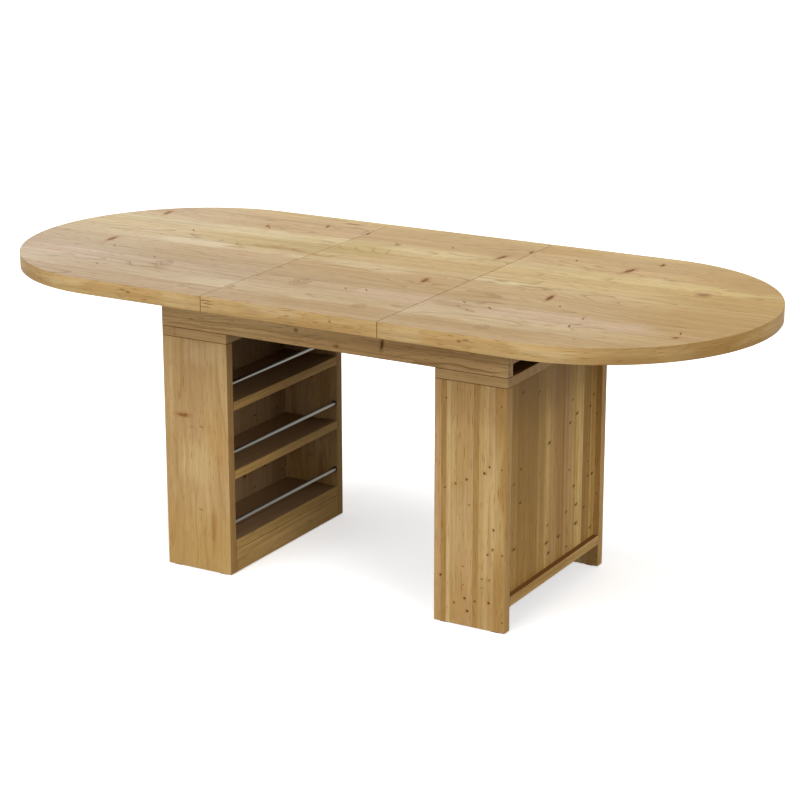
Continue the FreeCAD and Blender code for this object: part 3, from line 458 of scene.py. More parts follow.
STAVED_LOOK = Look("94703c", "946324", "482400", lines=0.26, streaks=0.26, fibres=0.1,
                   pores=0.55, gloss=0.44)
FRONT_PINS = [
    (552, 318, 2.4), (552, 461, 2.2), (404, 431, 2.8), (401, 462, 2.2), (387, 418, 3.2),
    (364, 372, 3.4), (337, 315, 2.2), (194, 467, 2.4), (190, 428, 2.4), (118, 305, 3.6),
    (128, 434, 2.4), (127, 414, 2.4), (71, 369, 3.8), (68, 396, 3.4), (71, 433, 4.0),
    (40, 376, 3.4), (29, 468, 2.2)]
STAVED_PANEL = make_staved(
    "staved_panel_wood", "ZXY", 0.014, ("d6b881", "bb965d", "c6a272", "a9834c"), FRONT_PINS,
    {"spacing": 0.05, "size": 0.0016, "share": 0.2, "stretch": 1.0}, 3.0, STAVED_LOOK,
    [(560, 380, 50, 120, 0.7, "ae8858", 0.4), (330, 445, 130, 16, 0.5, "d9bd84", 0.55),
     (250, 350, 90, 30, 0.6, "c8a878", 0.4), (60, 380, 60, 100, 0.6, "b08a52", 0.35)])
dress(STAVED_PANEL, "right_front_panel", "right_rear_panel")

# ============================================================ back panels
# Thin panels let into grooves of the uprights, top board and bottom board.  They are
# glued up from wider staves, with upright grain and more and longer knots.


def both(*parts):
    """The names of pieces that the left and the right side both have."""
    return [f"{side}_{part}" for side in ("left", "right") for part in parts]


BACK_LOOK = STAVED_LOOK._replace(line="7f5f2b", halo="885c20", core="4e2e00", streaks=0.42)
BACK_PINS = [
    (397, -18, 3.8), (417, 96, 3.2), (431, 132, 3.6), (429, 208, 3.0), (455, 225, 2.8),
    (374, -164, 3.0), (346, -201, 3.0), (186, -196, 3.8), (147, -24, 4.6), (118, -12, 3.6),
    (143, 42, 4.0), (147, 138, 3.8), (196, 137, 3.4), (193, 84, 2.8), (248, 123, 3.4),
    (251, 225, 3.4), (252, 201, 2.8), (175, 183, 3.0), (297, 95, 2.8), (101, 88, 2.8),
    (111, 223, 3.0), (538, -75, 2.4), (558, -160, 2.8), (292, -167, 2.8), (289, 202, 2.6)]
STAVED_BACK = make_staved(
    "staved_back_wood", "ZYX", 0.036, ("dcb873", "ba9253", "c99c67", "a47c40"), BACK_PINS,
    {"spacing": 0.07, "size": 0.0014, "share": 0.1, "stretch": 2.2}, 8.0, BACK_LOOK,
    # Painted shade: a darker band across the top under the table top, a darker patch over the
    # upper front part, and the inner faces darkened inside the cabinets.
    [(610, 0, 110, 300, 0.5, "866434", 0.45), (430, -170, 190, 90, 0.7, "8c6a32", 0.45)],
    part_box("right_back_panel")[0].x)
dress(STAVED_BACK, *both("back_panel"))

# ============================================================ shelves and plinths
# Solid boards tenoned between the uprights, with the grain running from front to
# rear.  Their open edge is planed square and eased like every other edge.

PANEL_FACE = 242
PLINTH_TOP = 61
BOARD_TOP = 620
STRAIGHT = 0.006
SHELF_LOOK = Look("8a6430", "8f6230", "4a2c16", lines=0.45, streaks=0.4, fibres=0.08, pores=0.4)
SHELF_JOINTS = [("Y", PANEL_FACE), ("Z", PLINTH_TOP)]
SHELF_WOOD = make_board(
    "shelf_wood", "YXZ", ("cfaa6a", "bc9558"), 14.0, 5.0, SHELF_LOOK, joints=SHELF_JOINTS,
    # Painted shade: the strip of the bottom board in the recess beyond the back panel, and the
    # boards' faces inside the cabinets, are darkened.
    sharp=[(0, across, 400, half, STRAIGHT, tone, 0.88)
           for across, half, tone in ((-467.5, 7, "6e4322"), (467.5, 7, "6e4322"),
                                      (-369, 80.3, "90745a"), (369, 80.3, "90745a"))])
PLINTH_WOOD = make_board("plinth_wood", "YZX", ("d1ab6c", "be975b"), 12.0, 6.5, SHELF_LOOK,
                         joints=SHELF_JOINTS)
TOP_BOARD_WOOD = make_board(
    "top_board_wood", "XYZ", ("caa97a", "bb9968"), 12.0, 9.0, SHELF_LOOK._replace(line="a67c46"),
    [(-439, -262, 5, 3, 70, 0.5)], joints=[("Z", PANEL_TOP), ("Z", BOARD_TOP)],
    # Painted shade: the top boards' faces inside the apron box are darkened nearly to black.
    sharp=[(along, 0, 86.5, 243, STRAIGHT, "2c1a0c", 0.9) for along in (-387.5, 387.5)])
dress(SHELF_WOOD, *both("bottom_board", "middle_shelf", "upper_shelf"))
dress(PLINTH_WOOD, *both("plinth"))
dress(TOP_BOARD_WOOD, *both("top_board"))

# ============================================================ guard rails
# Round steel bars, drawn and brushed lengthwise, that keep bottles and jars on the
# shelves.  Each end sits in a blind hole behind a black plastic collar.


def make_metal(name, colour, roughness, order, stretch):
    """Metal with fine drawing or brushing lines along one axis."""
    material, table = start_material(name)
    place = board_axes(table, order)
    lines = cloud(place * stretch, 3.0, 0.6)
    stains = ease(cloud(place, 3.0, scale=35.0), 0.4, 0.75, 0.0, 0.35)
    finish(blend(stains, colour, "77746a"), lines * 0.14 + (roughness - 0.07), lines, 0.3,
           0.1 * MM, Metallic=1.0)
    return material


RAIL_STEEL = make_metal("brushed_rail_steel", "74726a", 0.3, "YXZ", (6.0, 900.0, 900.0))
RAILS = both("upper_rail", "middle_rail", "lower_rail")
dress(RAIL_STEEL, *RAILS)

BLACK_PLASTIC, table = start_material("black_plastic")
grain = cloud(table, 2.0, scale=900.0)
finish(blend(grain, "14130f", "23211d"), ease(grain, 0.3, 0.7, 0.42, 0.58), grain, 0.25,
       0.1 * MM)


def put_on_points(tree, points, shape, rotation, material, smooth):
    """Ends a tree: the shape on every point, as real geometry with its material."""
    placed = node(tree, "GeometryNodeInstanceOnPoints",
                  {"Points": points, "Instance": shape, "Rotation": rotation})
    real = node(tree, "GeometryNodeRealizeInstances", {0: placed})
    soft = node(tree, "GeometryNodeSetShadeSmooth", {"Geometry": real, "Shade Smooth": smooth})
    finished = node(tree, "GeometryNodeSetMaterial", {"Geometry": soft, "Material": material})
    end_tree(tree, ["Geometry"], [finished])
    return tree


def set_out(name, data):
    thing = bpy.data.objects.new(name, data)
    bpy.context.scene.collection.objects.link(thing)
    return thing


def keep_piece(name, mesh, body):
    """A finished mesh as a piece that rides on a body."""
    piece = set_out(name, mesh)
    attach(piece, body)
    return piece


def bake(name, points, tree, values, body):
    """Runs a tree on a mesh of points and keeps the result as a plain mesh piece."""
    seedling = bpy.data.meshes.new(name + "_points")
    seedling.from_pydata(list(points), [], [])
    carrier = set_out(name + "_carrier", seedling)
    modifier = carrier.modifiers.new(name, "NODES")
    modifier.node_group = tree
    for item in tree.interface.items_tree:
        if item.name in values:
            modifier[item.identifier] = values[item.name]
    graph = bpy.context.evaluated_depsgraph_get()
    mesh = bpy.data.meshes.new_from_object(carrier.evaluated_get(graph))
    mesh.name = name
    carrier.modifiers.remove(modifier)
    bpy.data.objects.remove(carrier)
    keep_piece(name, mesh, body)


def make_collar_tree():
    """A turned ring on each point, its axis along Y, made by sweeping its section."""
    tree, (points, bore, wall, height) = start_tree(
        "GeometryNodeTree", "rail_collar_ring",
        {"Geometry": None, "Bore Radius": 0.0051, "Wall": 0.0021, "Height": 0.0012})
    path = node(tree, "GeometryNodeCurvePrimitiveCircle",
                {"Resolution": 40, "Radius": wall * 0.5 + bore})
    section = node(tree, "GeometryNodeCurvePrimitiveQuadrilateral",
                   {"Width": wall, "Height": height * 2.0})
    rounded = node(tree, "GeometryNodeFilletCurve", {"Curve": section, "Radius": 0.6 * MM})
    ring = node(tree, "GeometryNodeCurveToMesh", {"Curve": path, "Profile Curve": rounded})
    return put_on_points(tree, points, ring, (math.pi / 2, 0, 0), BLACK_PLASTIC, True)


def rail_ends():
    panel_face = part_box("left_rear_panel")[0].y
    for rail in RAILS:
        middle = sum(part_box(rail), Vector()) / 2
        for y in (-panel_face, panel_face):
            yield (middle.x, y, middle.z)


bake("rail_collars", rail_ends(), make_collar_tree(), {}, "base")

# ============================================================ apron box
# Two long aprons and two short end rails, tenoned and glued into a box that stands
# on the cabinets.  The aprons show broad, wavy growth rings and a few dark knots.

APRON_LOOK = Look("765226", "845c2f", "43260f", lines=0.95, streaks=0.35, fibres=0.08)
APRON_WOOD = make_board(
    "apron_wood", "XZY", ("dab781", "c49e6b"), 24.0, 2.0, APRON_LOOK,
    [(147, 655, 4, 14, 8, 0.9), (24, 634, 7, 4, 0, 0.6), (-87, 658, 5, 5, 20, 0.6)], 1.6,
    joints=[("Z", BOARD_TOP)])
END_RAIL_WOOD = make_board("end_rail_wood", "YZX", ("d4b07d", "bf9a68"), 16.0, 4.0, APRON_LOOK)
dress(APRON_WOOD, "front_apron", "rear_apron")
dress(END_RAIL_WOOD, *both("end_rail"))

# ============================================================ hidden framing
# Cross bearers of dark hardwood carry the slides, blocks in the corners take the
# cabinet bolts, and loose splines line the cabinets' tops up.  All are planed only.

BEARER_WOOD = make_board("bearer_wood", "YZX", ("7d5c3a", "6a4b2e"), 14.0, 11.0,
                         SHELF_LOOK._replace(line="4a3018"))
BLOCK_WOOD = make_board("block_wood", "XYZ", ("d2b386", "c5a271"), 14.0, 12.0, SHELF_LOOK)
dress(BEARER_WOOD, *both("outer_bearer", "inner_bearer"))
dress(BLOCK_WOOD, "fixing_blocks", "panel_splines")

ZINC = make_metal("zinc_plate", "a5a6a1", 0.34, "ZXY", (60.0, 60.0, 60.0))
dress(ZINC, "cabinet_bolts")

# ============================================================ slides
# Extruded aluminium tracks with two channels each, and runners that hang the halves
# in them on black plastic shoes.  The mill finish keeps fine lines from the die.

ALUMINIUM = make_metal("mill_aluminium", "b4b5b6", 0.36, "XYZ", (3.0, 700.0, 700.0))
dress(ALUMINIUM, "front_slide_track", "rear_slide_track", *both("front_runner", "rear_runner"))
dress(BLACK_PLASTIC, "track_end_caps", *both("runner_shoes"), "floor_pads")

SCREW_SIDES = 24


def join(tree, *parts):
    made = tree.nodes.new("GeometryNodeJoinGeometry")
    for part in parts:
        tree.links.new(part.socket, made.inputs[0])
    return Wire(made.outputs[0])


def make_screw_tree():
    """A countersunk head with a crosswise recess on each point, turned by chance."""
    tree, (points, radius, recess, facing, seed) = start_tree(
        "GeometryNodeTree", "countersunk_screw",
        {"Geometry": None, "Head Radius": 0.0035, "Recess": 0.0009, "Facing": 0.0, "Seed": 1})
    waist = radius * 0.5
    rim = node(tree, "GeometryNodeCurvePrimitiveCircle",
               {"Resolution": SCREW_SIDES, "Radius": radius})
    cross = node(tree, "GeometryNodeCurveStar",
                 {"Points": 4, "Inner Radius": radius * 0.2, "Outer Radius": radius * 0.62})
    face = node(tree, "GeometryNodeFillCurve", {"Curve": join(tree, rim, cross)})
    mouth = node(tree, "GeometryNodeFillCurve", {"Curve": cross})
    pocket = node(tree, "GeometryNodeExtrudeMesh",
                  {"Mesh": mouth, "Individual": False, "Offset Scale": recess * -1.0})
    cone = node(tree, "GeometryNodeMeshCone",
                {"Vertices": SCREW_SIDES, "Radius Top": radius, "Radius Bottom": waist,
                 "Depth": waist}, fill_type="NONE")
    end = node(tree, "GeometryNodeMeshCircle", {"Vertices": SCREW_SIDES, "Radius": waist},
               fill_type="NGON")
    drop = node(tree, "CombineXYZ", {"Z": waist * -1.0})
    lowered = [node(tree, "GeometryNodeTransform",
                    {"Geometry": part, "Translation": drop, "Rotation": (turn, 0, 0)})
               for part, turn in ((cone, 0), (end, math.pi))]
    welded = node(tree, "GeometryNodeMergeByDistance",
                  {"Geometry": join(tree, face, pocket, *lowered), "Distance": 0.02 * MM})
    spin = node(tree, "FunctionNodeRandomValue", {"Seed": seed, 3: math.pi / 2}, 1,
                data_type="FLOAT")
    rotation = node(tree, "CombineXYZ", {"X": facing * math.pi, "Z": spin})
    return put_on_points(tree, points, welded, rotation, ZINC, False)


SCREW_TREE = make_screw_tree()
PROUD = 0.1 * MM
TRACK_FLOOR = 2.5 * MM
WEB_INSET = 34 * MM
FLANGE = 3 * MM
FLANGE_HOLE_INSET = 12 * MM
FLANGE_HOLES = (0.262, 0.318, 0.374)
LOCK_PLATE = 2 * MM
LOCK_HOLE_INSET = 7 * MM
LOCK_HOLE_ROWS = (0.343, 0.367)


def runner_line(runner, inset):
    """A line along a runner, at an inset from its flange's screwed edge."""
    start, end = (corner.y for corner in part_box(runner + "_runner"))
    if runner in ("left_rear", "right_front"):
        start, end = end, start
    return start + math.copysign(inset, end - start)


def track_screws():
    """Through the floor of both channels of both tracks, into the four bearers."""
    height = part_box("front_slide_track")[0].z + TRACK_FLOOR + PROUD
    for bearer in ("left_outer", "left_inner", "right_inner", "right_outer"):
        x = sum(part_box(bearer + "_bearer"), Vector()).x / 2
        for runner in ("left_front", "right_front", "right_rear", "left_rear"):
            yield (x, runner_line(runner, WEB_INSET), height)


def half_screws(side, sign):
    """Up through the runners' flanges and the lock plates into the half's panel."""
    for runner in (f"{side}_front", f"{side}_rear"):
        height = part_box(runner + "_runner")[1].z - FLANGE - PROUD
        for x in FLANGE_HOLES:
            yield (sign * x, runner_line(runner, FLANGE_HOLE_INSET), height)
    low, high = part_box(f"{side}_lock_plates")
    for x in (low.x + LOCK_HOLE_INSET, high.x - LOCK_HOLE_INSET):
        for row in (-1, 1):
            for y in LOCK_HOLE_ROWS:
                yield (x, row * y, high.z - LOCK_PLATE - PROUD)


bake("track_screws", track_screws(), SCREW_TREE, {"Head Radius": 0.004, "Seed": 3}, "base")
for side, sign in (("left", -1), ("right", 1)):
    bake(f"{side}_half_screws", half_screws(side, sign), SCREW_TREE,
         {"Head Radius": 0.0034, "Facing": 1.0, "Seed": 5}, f"{side}_half")

# ============================================================ table top
# Two halves and a loose leaf, veneered alike with wide, pale, knotty boards whose
# grain runs the length of the table.  Their meeting edges are lightly rounded.

TOP_LOOK = Look("7b6038", "a06c3c", "5e3214", lines=0.8, streaks=0.2, fibres=0.07, pores=0.6,
                gloss=0.42, sheen=0.03)
TOP_ROWS = [
    (-443, "baa389"), (-352, "bca68b"), (-343, "cebca0"), (-290, "c8b69d"), (-240, "c0ab95"),
    (-150, "b7a185"), (-60, "bca383"), (-25, "c4aa89"), (15, "cfba96"), (60, "cab38b"),
    (145, "ccb487"), (165, "d5c297"), (225, "d3bf97"), (250, "c5aa87"), (350, "c3a784"),
    (400, "c9af87"), (443, "cfb989")]
SEAM = (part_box("right_top_panel")[0].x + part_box("leaf_panel")[1].x) / 2
ARRIS = 1.5 * MM


@effect("veneer_rows", "Colour", position=ORIGIN)
def veneer_rows(position):
    """The veneer's rows: soft bands of tone that wander along the grain."""
    start, width = TOP_ROWS[0][0], TOP_ROWS[-1][0] - TOP_ROWS[0][0]
    colour = node(position.tree, "ValToRGB", {0: split(position)[1] / (width * MM) + 0.5})
    stops = colour.socket.node.color_ramp.elements
    for stop, row in ((0, 0), (1, -1)):
        stops[stop].position, stops[stop].color = float(stop), shade(TOP_ROWS[row][1])
    for across, tone in TOP_ROWS[1:-1]:
        stops.new((across - start) / width).color = shade(tone)
    return colour


@effect("healed_knot", "Line", **OVAL, line=0.0)
def healed_knot(position, centre, length, width, turn, depth, line):
    """A knot that the wood has grown over: only thin broken rings show."""
    flat, reach = oval_reach(position, centre, length, width, turn)
    thin = reckon("FRACT", reach * 2.1) ** 1.3
    breaks = ease(cloud(flat, 1.0, scale=60.0), 0.36, 0.48)
    return reckon("MAXIMUM", thin * breaks * (fade(reach, 1.2, 1.6) * depth), line)


def place_cracks(place, cracks):
    """Short dark drying cracks: (along, across, half length, half width, turn) in mm."""
    reach = FAR
    for along, across, length, width, turn in cracks:
        away = turned(place - (along * MM, across * MM, 0.0), math.radians(turn))
        narrow = away * (1 / (length * MM), 1 / (width * MM), 0.0)
        reach = reckon("MINIMUM", reach, reckon("LENGTH", narrow))
    return fade(reach, 0.6, 1.8, 0.9)


def seam_line(table, place, colour):
    """The dark line on the rounded edges where a half and the leaf meet, painted shade of
    the gap.  The faces between those edges are left unpainted."""
    low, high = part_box("leaf_rear_edging")
    line = fade(abs(abs(split(place)[0]) - SEAM), 0.5 * MM, 1.5 * MM, 0.6)
    _, across, height = split(table)
    rise = abs(height - (low.z + high.z) / 2)
    edges = [ease(reach, end - 1.6 * ARRIS, end - ARRIS)
             for reach, end in ((rise, (high.z - low.z) / 2), (abs(across), high.y))]
    # Painted shade: the seam's gap is darkened in the colour.
    return blend(line * reckon("MAXIMUM", *edges), colour, "543918")


def make_top_wood(name, seed, knots, healed, cracks, patches):
    """Veneer in rows, with knots, healed knots, cracks and patches at their places."""
    material, table = start_material(name)
    soft, fine = wander(position=table)
    core, halo, bend = place_knots(fine, knots)
    core = reckon("MAXIMUM", core, place_cracks(fine, cracks))
    line, *grown = figure(position=table, seed=seed, rings=20.0, waves=1.1, bend=bend)
    for *measures, turn, depth in healed:
        line = healed_knot(**oval(fine, *measures), turn=math.radians(turn), depth=depth,
                           line=line)
    # Painted light and reflection: paler towards the left end, yellower and darker towards the
    # right.
    painted_light_slope = ease(split(table)[0], -0.9, 0.95, 0.0, 0.35)
    colour = blend(painted_light_slope, veneer_rows(position=soft), "c09d55")
    colour = lay_patches(soft, blend(grown[-1] * 0.22, colour, "ae946a"), patches)
    finish_wood(seam_line(table, table, colour), (line, *grown), core, halo, TOP_LOOK)
    return material


TOP_WOOD = {
    "left": make_top_wood(
        "left_top_wood", 0.0,
        knots=[(-775, -60, 7, 26, -8, 0.75), (-834, 270, 7, 26, -12, 0.7),
               (-510, 265, 5, 15, -25, 0.7), (-370, 338, 4, 13, -15, 1.0),
               (-325, 395, 24, 7, 0, 0.5)],
        healed=[(-503, -215, 18, 24, 0, 1.0), (-327, -378, 10, 14, 0, 0.7),
                (-267, 163, 16, 20, 0, 0.6)],
        cracks=[(-650, 127, 10, 1.4, 55), (-722, -120, 8, 1.4, 45), (-560, -172, 8, 1.3, 45),
                (-640, -300, 9, 1.3, 60), (-495, 250, 9, 1.5, 60)],
        patches=[
            (-840, 0, 220, 420, 0.5, "d6c8b2", 0.25), (-560, -350, 240, 90, 0.5, "b1977a", 0.35),
            (-560, 12, 95, 26, 0.3, "dccfb2", 0.45), (-810, -222, 110, 44, 0.25, "d0b9a4", 0.5),
            (-280, 95, 200, 45, 0.5, "b5a16e", 0.5), (-335, 62, 84, 7, 0.4, "a5824e", 0.6),
            (-520, 190, 130, 30, 0.4, "decfab", 0.4), (-505, -262, 40, 7, 0.5, "a08058", 0.6)]),
    "leaf": make_top_wood(
        "leaf_top_wood", 3.7,
        knots=[(142, -56, 7, 25, -10, 0.85), (190, 248, 7, 25, 8, 0.85),
               (229, 334, 4, 13, -12, 1.0), (-234, 315, 4, 11, -20, 1.0),
               (-104, 245, 6, 9, 0, 0.4)],
        healed=[(-108, -210, 18, 24, 0, 1.0), (130, -345, 14, 16, 0, 0.8)],
        cracks=[(33, 283, 8, 1.5, 60), (-100, 236, 10, 1.6, -50), (-112, 252, 8, 1.5, 40),
                (70, -205, 9, 1.4, 50), (20, -216, 9, 1.4, 60), (155, -60, 8, 1.5, 30)],
        patches=[
            (0, 0, 260, 460, 0.2, "b0905f", 0.27), (-50, 5, 105, 32, 0.25, "d6c69f", 0.45),
            (150, -226, 92, 46, 0.12, "c6ac90", 0.6), (-150, 150, 90, 52, 0.5, "b09c60", 0.45),
            (-210, 58, 26, 7, 0.4, "a5824e", 0.6), (20, 200, 120, 26, 0.35, "dcc99c", 0.4),
            (-100, -243, 34, 6, 0.5, "a08058", 0.6), (80, -380, 160, 40, 0.3, "ad9068", 0.4)]),
    "right": make_top_wood(
        "right_top_wood", 6.1,
        knots=[(475, -61, 6, 26, -8, 1.0), (524, 275, 8, 27, 8, 0.9), (570, 368, 5, 14, -10, 1.0),
               (866, -242, 8, 8, 0, 0.8), (772, 140, 14, 12, 0, 0.45)],
        healed=[(460, -370, 13, 17, 0, 0.9), (773, 137, 14, 17, 0, 0.9)],
        cracks=[(322, -192, 9, 1.5, 50), (398, -212, 9, 1.5, 50), (328, -230, 7, 1.5, 30),
                (362, -253, 6, 1.4, 45), (622, -192, 9, 1.8, 80), (634, -246, 9, 1.8, -40),
                (624, -266, 9, 1.8, 70), (530, -120, 6, 1.6, 60), (862, -205, 9, 1.5, 75),
                (366, 310, 7, 1.5, 70), (356, 132, 10, 1.4, -70), (457, 27, 3, 2, 0),
                (433, 3, 3, 2, 0), (680, -360, 3, 1.8, 0)],
        patches=[
            (920, 0, 200, 420, 0.6, "aa8749", 0.5), (310, 22, 66, 30, 0.25, "d3c39c", 0.45),
            (600, -222, 200, 50, 0.25, "c8ae94", 0.55), (300, -130, 66, 40, 0.6, "aa8c5a", 0.45),
            (660, 185, 240, 24, 0.35, "d8c188", 0.45), (310, -225, 50, 14, 0.5, "a88c62", 0.5),
            (430, -375, 170, 36, 0.3, "ab8d62", 0.45), (300, 385, 90, 40, 0.4, "b7945e", 0.4)]),
}

ROUND_START = 0.573
ROUND_STEPS = 64
TOUCH = 1e-6
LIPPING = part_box("leaf_panel")[0].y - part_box("leaf_front_edging")[0].y


def new_piece(name, shape, materials, body, node_name):
    """A shape as a piece that stands for one CAD node."""
    mesh = bpy.data.meshes.new(name)
    shape.to_mesh(mesh)
    shape.free()
    for material in materials:
        mesh.materials.append(material)
    piece = keep_piece(name, mesh, body)
    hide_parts(node_name)


def round_end(inset, sign):
    """Half an oval from the front edge round to the rear, inset from the outline."""
    tip, half_width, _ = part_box("right_top_edging")[1]
    for step in range(ROUND_STEPS + 1):
        angle = -math.pi / 2 + math.pi * step / ROUND_STEPS
        yield (sign * (ROUND_START + (tip - ROUND_START - inset) * math.cos(angle)),
               (half_width - inset) * math.sin(angle))


def slab(name, outline, seams, body, node_name, material):
    """A flat panel of the given outline whose seam edges are rounded over."""
    low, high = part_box(node_name)
    shape = bmesh.new()
    floor = shape.faces.new([shape.verts.new((x, y, low.z)) for x, y in outline])
    raised = bmesh.ops.extrude_face_region(shape, geom=[floor])["geom"]
    for vertex in (part for part in raised if isinstance(part, bmesh.types.BMVert)):
        vertex.co.z = high.z
    shape.faces.ensure_lookup_table()
    bmesh.ops.recalc_face_normals(shape, faces=shape.faces)
    edges = [edge for edge in shape.edges
             if any(all(abs(end.co.x - seam) < TOUCH for end in edge.verts) for seam in seams)
             and abs(edge.verts[0].co.z - edge.verts[1].co.z) < TOUCH]
    bmesh.ops.bevel(shape, geom=edges, offset=ARRIS, segments=3, affect="EDGES", profile=0.5)
    new_piece(name, shape, [material], body, node_name)


for side, sign in (("left", -1), ("right", 1)):
    node_name = f"{side}_top_panel"
    low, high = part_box(node_name)
    seam = high.x if side == "left" else low.x
    outline = [(seam, low.y), *round_end(LIPPING, sign), (seam, high.y)]
    slab(f"{side}_half_panel", outline, [seam], f"{side}_half", node_name, TOP_WOOD[side])
low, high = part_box("leaf_panel")
slab("loose_leaf_panel", [(low.x, low.y), (high.x, low.y), (high.x, high.y), (low.x, high.y)],
     [low.x, high.x], "leaf", "leaf_panel", TOP_WOOD["leaf"])

# ============================================================ lippings
# Strips of solid wood glued round the halves and along the leaf before they were
# veneered, so that only their sides show.  Their grain follows the edge.

EDGE_LOOK = Look("8f6c38", "8a6230", "4f2f14", lines=0.4, streaks=0.26, fibres=0.1, pores=0.55,
                 gloss=0.42)
EDGE_WOOD = make_board(
    "edge_wood", "along_edge", ("d3b57e", "bb9661"), 30.0, 13.0, EDGE_LOOK, waves=0.8,
    seam=seam_line,
    knots=[(-222, 752, 16, 1, 0, 0.8), (-216, 745, 14, 1, 0, 0.8), (-226, 737, 15, 1, 0, 0.7),
           (-340, 742, 22, 1, 2, 0.6), (114, 745, 3, 2, 0, 0.7), (444, 745, 5, 3, 0, 0.6),
           (-372, 733, 16, 1, 0, 0.5), (460, 748, 9, 2, 0, 0.5)],
    patches=[(-540, 745, 62, 16, 0.4, "ddc99d", 0.4), (-52, 748, 78, 10, 0.4, "e0cda4", 0.45),
             (288, 742, 50, 14, 0.4, "d6bf90", 0.4), (640, 742, 60, 12, 0.4, "dcc597", 0.4),
             (20, 738, 250, 30, 0.3, "b08a58", 0.35),
             # Painted shade: the two deeper patches far along the strip darken the round ends.
             (1240, 742, 260, 60, 0.4, "a57f45", 0.82), (880, 742, 160, 60, 0.6, "a07d4c", 0.6),
             (1195, 743, 84, 10, 0.4, "c8a56c", 0.5), (935, 741, 38, 12, 0.4, "c4a56e", 0.4)])
SHARP_ANGLE = math.radians(40)


def arris_turn():
    """Round an arris from its outer end: (along the face, in from it)."""
    for angle in (0, 30, 60, 90):
        turn = math.radians(angle)
        yield ARRIS * (1 - math.sin(turn)), ARRIS * (1 - math.cos(turn))


def lipping_section(low, high):
    """(inset, height, belongs to the top) round the strip, from its inner foot."""
    turn = list(arris_turn())
    foot = [(inset, low + rise, False) for inset, rise in turn]
    head = [(inset, high - rise, True) for inset, rise in reversed(turn)]
    return [(LIPPING, low, False), *foot, *head, (LIPPING, high, True)]


def seam_end(seam, inward, outer, inner):
    """A strip's end at a seam, rounded over, as a path of (outer point, inner point,
    depth cut back)."""
    return [((seam + inward * run, outer), (seam + inward * run, inner), cut)
            for run, cut in reversed(list(arris_turn()))]


def sweep_lipping(name, path, first_u, body, node_name, top_material):
    """Sweeps the strip's section along a path of (outer point, inner point, cut)."""
    low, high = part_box(node_name)
    section = lipping_section(low.z, high.z)
    shape = bmesh.new()
    uv = shape.loops.layers.uv.new("along_edge")
    rings, lengths, gone = [], [], first_u
    for step, (outer, inner, cut) in enumerate(path):
        if step:
            gone += math.dist(outer, path[step - 1][0])
        lengths.append(gone)
        rings.append([])
        for inset, z, _ in section:
            place = Vector(outer).lerp(Vector(inner), max(inset, cut) / LIPPING)
            height = min(max(z, low.z + cut), high.z - cut)
            rings[-1].append(shape.verts.new((*place, height)))
    for step in range(len(path) - 1):
        for spot in range(len(section)):
            after = (spot + 1) % len(section)
            face = shape.faces.new((rings[step][spot], rings[step + 1][spot],
                                    rings[step + 1][after], rings[step][after]))
            face.smooth = True
            face.material_index = int(section[spot][2] and section[after][2])
            for loop, place in zip(face.loops, (step, step + 1, step + 1, step)):
                loop[uv].uv = (lengths[place], loop.vert.co.z)
    for ring, u in ((rings[0], lengths[0]), (rings[-1], lengths[-1])):
        for loop in shape.faces.new(ring).loops:
            loop[uv].uv = (u, loop.vert.co.z)
    bmesh.ops.remove_doubles(shape, verts=shape.verts, dist=TOUCH)
    bmesh.ops.recalc_face_normals(shape, faces=shape.faces)
    for edge in shape.edges:
        edge.smooth = edge.calc_face_angle(0.0) < SHARP_ANGLE
    new_piece(name, shape, [EDGE_WOOD, top_material], body, node_name)


for side, sign in (("left", -1), ("right", 1)):
    node_name = f"{side}_top_edging"
    low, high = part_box(node_name)
    seam = high.x if side == "left" else low.x
    front = seam_end(seam, sign, low.y, low.y + LIPPING)
    bend = [(*points, 0.0) for points in zip(round_end(0, sign), round_end(LIPPING, sign))]
    rear = seam_end(seam, sign, high.y, high.y - LIPPING)
    sweep_lipping(f"{side}_lipping", front + bend + rear[::-1], seam * sign, f"{side}_half",
                  node_name, TOP_WOOD[side])
for row in ("front", "rear"):
    node_name = f"leaf_{row}_edging"
    low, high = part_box(node_name)
    sides = (low.y, high.y) if row == "front" else (high.y, low.y)
    path = seam_end(low.x, 1, *sides) + seam_end(high.x, -1, *sides)[::-1]
    sweep_lipping(f"leaf_{row}_lipping", path, low.x, "leaf", node_name, TOP_WOOD["leaf"])

# ============================================================ leaf locks
# Pressed steel levers under the halves hook round pins under the leaf.  Plates,
# levers and pins are zinc plated, with a faint yellow cast.

LOCK_STEEL = make_metal("lock_steel", "a9a593", 0.36, "XYZ", (40.0, 40.0, 40.0))
dress(LOCK_STEEL, *both("lock_plates", "front_lock_lever", "rear_lock_lever"),
      "leaf_catch_plates", "leaf_catch_pins")
CATCH_HOLE_INSET = 15 * MM
CATCH_HOLE_ROWS = (0.345, 0.365)


def catch_screws():
    """Two screws through each of the leaf's four catch plates."""
    low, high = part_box("leaf_catch_plates")
    for x in (low.x + CATCH_HOLE_INSET, high.x - CATCH_HOLE_INSET):
        for row in (-1, 1):
            for y in CATCH_HOLE_ROWS:
                yield (x, row * y, low.z - PROUD)


bake("catch_screws", catch_screws(), SCREW_TREE,
     {"Head Radius": 0.003, "Facing": 1.0, "Seed": 8}, "leaf")

# ============================================================ studio
# A plain pale floor and backdrop, four broad lamps from the front, the right and
# above, and the camera.  The floor shows white, and keeps the table's shadow.

FLOOR_REACH = 30.0
FLOOR_GLOW = 0.5
WHITE = (1, 1, 1, 1)
BOUNCE_GREY = (0.3, 0.29, 0.28, 1)


def seen_directly(tree):
    """1 for what the camera, gloss or glass shows, and 0 for light on its way."""
    camera_ray, glossy, glass = node(tree, "LightPath", {}, "Is Camera Ray", "Is Glossy Ray",
                                     "Is Transmission Ray")
    return reckon("MAXIMUM", camera_ray, reckon("MAXIMUM", glossy, glass))


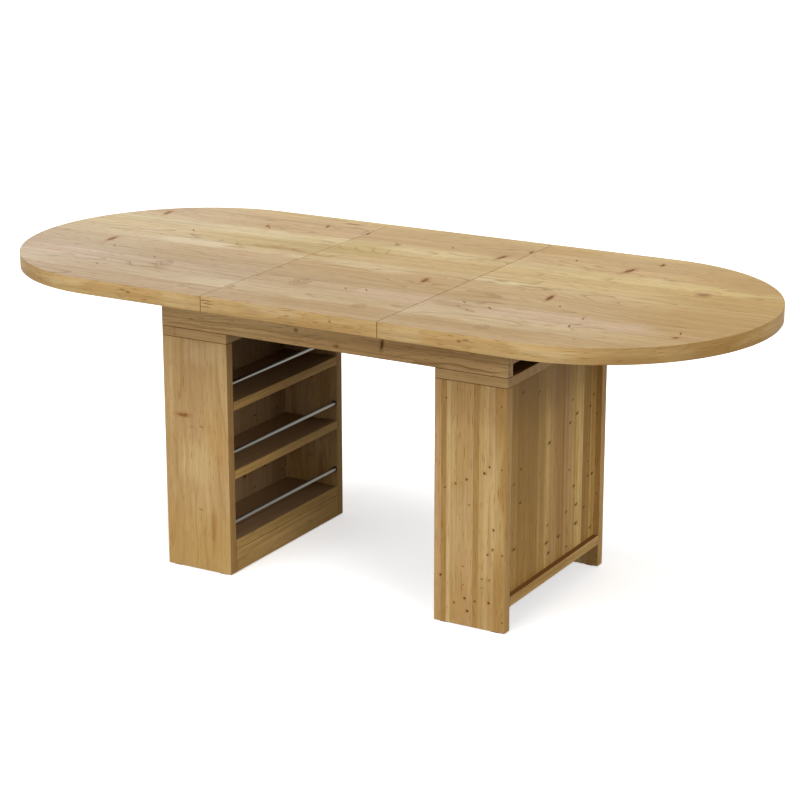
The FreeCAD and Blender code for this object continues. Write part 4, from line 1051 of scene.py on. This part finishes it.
FLOOR_PAINT, table = start_material("floor_paint")
seen = seen_directly(table.tree)
paint = node(seen.tree, "BsdfPrincipled",
             {"Base Color": blend(seen, BOUNCE_GREY, WHITE), "Roughness": 0.9,
              "Specular IOR Level": 0.0, "Emission Color": WHITE,
              "Emission Strength": seen * FLOOR_GLOW})
from_below = node(seen.tree, "NewGeometry", {}, "Backfacing")
clear = node(seen.tree, "BsdfTransparent", {})
show(node(seen.tree, "MixShader", {0: from_below, 1: paint, 2: clear}))
sheet = bpy.data.meshes.new("studio_floor")
sheet.from_pydata([(x * FLOOR_REACH, y * FLOOR_REACH, 0)
                   for x, y in ((-1, -1), (1, -1), (1, 1), (-1, 1))], [], [(0, 1, 2, 3)])
sheet.materials.append(FLOOR_PAINT)
floor = set_out("studio_floor", sheet)

AMBIENT = 0.42
world = bpy.data.worlds.new("studio_air")
bpy.context.scene.world = world
world.use_nodes = True
air = world.node_tree
air.nodes.clear()
height = split(node(air, "TexCoord", {}, "Generated"))[2]
ambient = ease(height, -0.1, 0.9, 0.9 * AMBIENT, 1.1 * AMBIENT)
strength = reckon("MAXIMUM", seen_directly(air), ambient)
show(node(air, "Background", {"Color": WHITE, "Strength": strength}), "ShaderNodeOutputWorld")


def aim(holder, back):
    """Turns a lamp or camera so that its back points the given way."""
    holder.rotation_mode = "QUATERNION"
    holder.rotation_quaternion = Vector(back).to_track_quat("Z", "Y")


for name, towards, strength, spread in (
        ("overhead_softbox", (-0.1, -0.25, 1.0), 0.42, 50),
        ("high_front_softbox", (-0.15, -0.82, 0.6), 0.16, 40),
        ("low_front_softbox", (-0.4, -0.95, 0.2), 0.24, 40),
        ("right_softbox", (0.8, -0.43, 0.42), 0.34, 30)):
    lamp = bpy.data.lights.new(name, "SUN")
    lamp.energy = strength * math.pi
    lamp.angle = math.radians(spread)
    aim(set_out(name, lamp), towards)

AZIMUTH = math.radians(29.84)
ELEVATION = math.radians(16.71)
camera = bpy.data.cameras.new("camera")
camera.sensor_width = 36.0
camera.lens = 102.64
camera.clip_end = 200.0
stand = set_out("camera", camera)
stand.location = (2.7119, -4.6538, 2.0469)
aim(stand, (math.sin(AZIMUTH) * math.cos(ELEVATION),
            -math.cos(AZIMUTH) * math.cos(ELEVATION), math.sin(ELEVATION)))
bpy.context.scene.camera = stand
bpy.context.scene.view_settings.view_transform = "Standard"
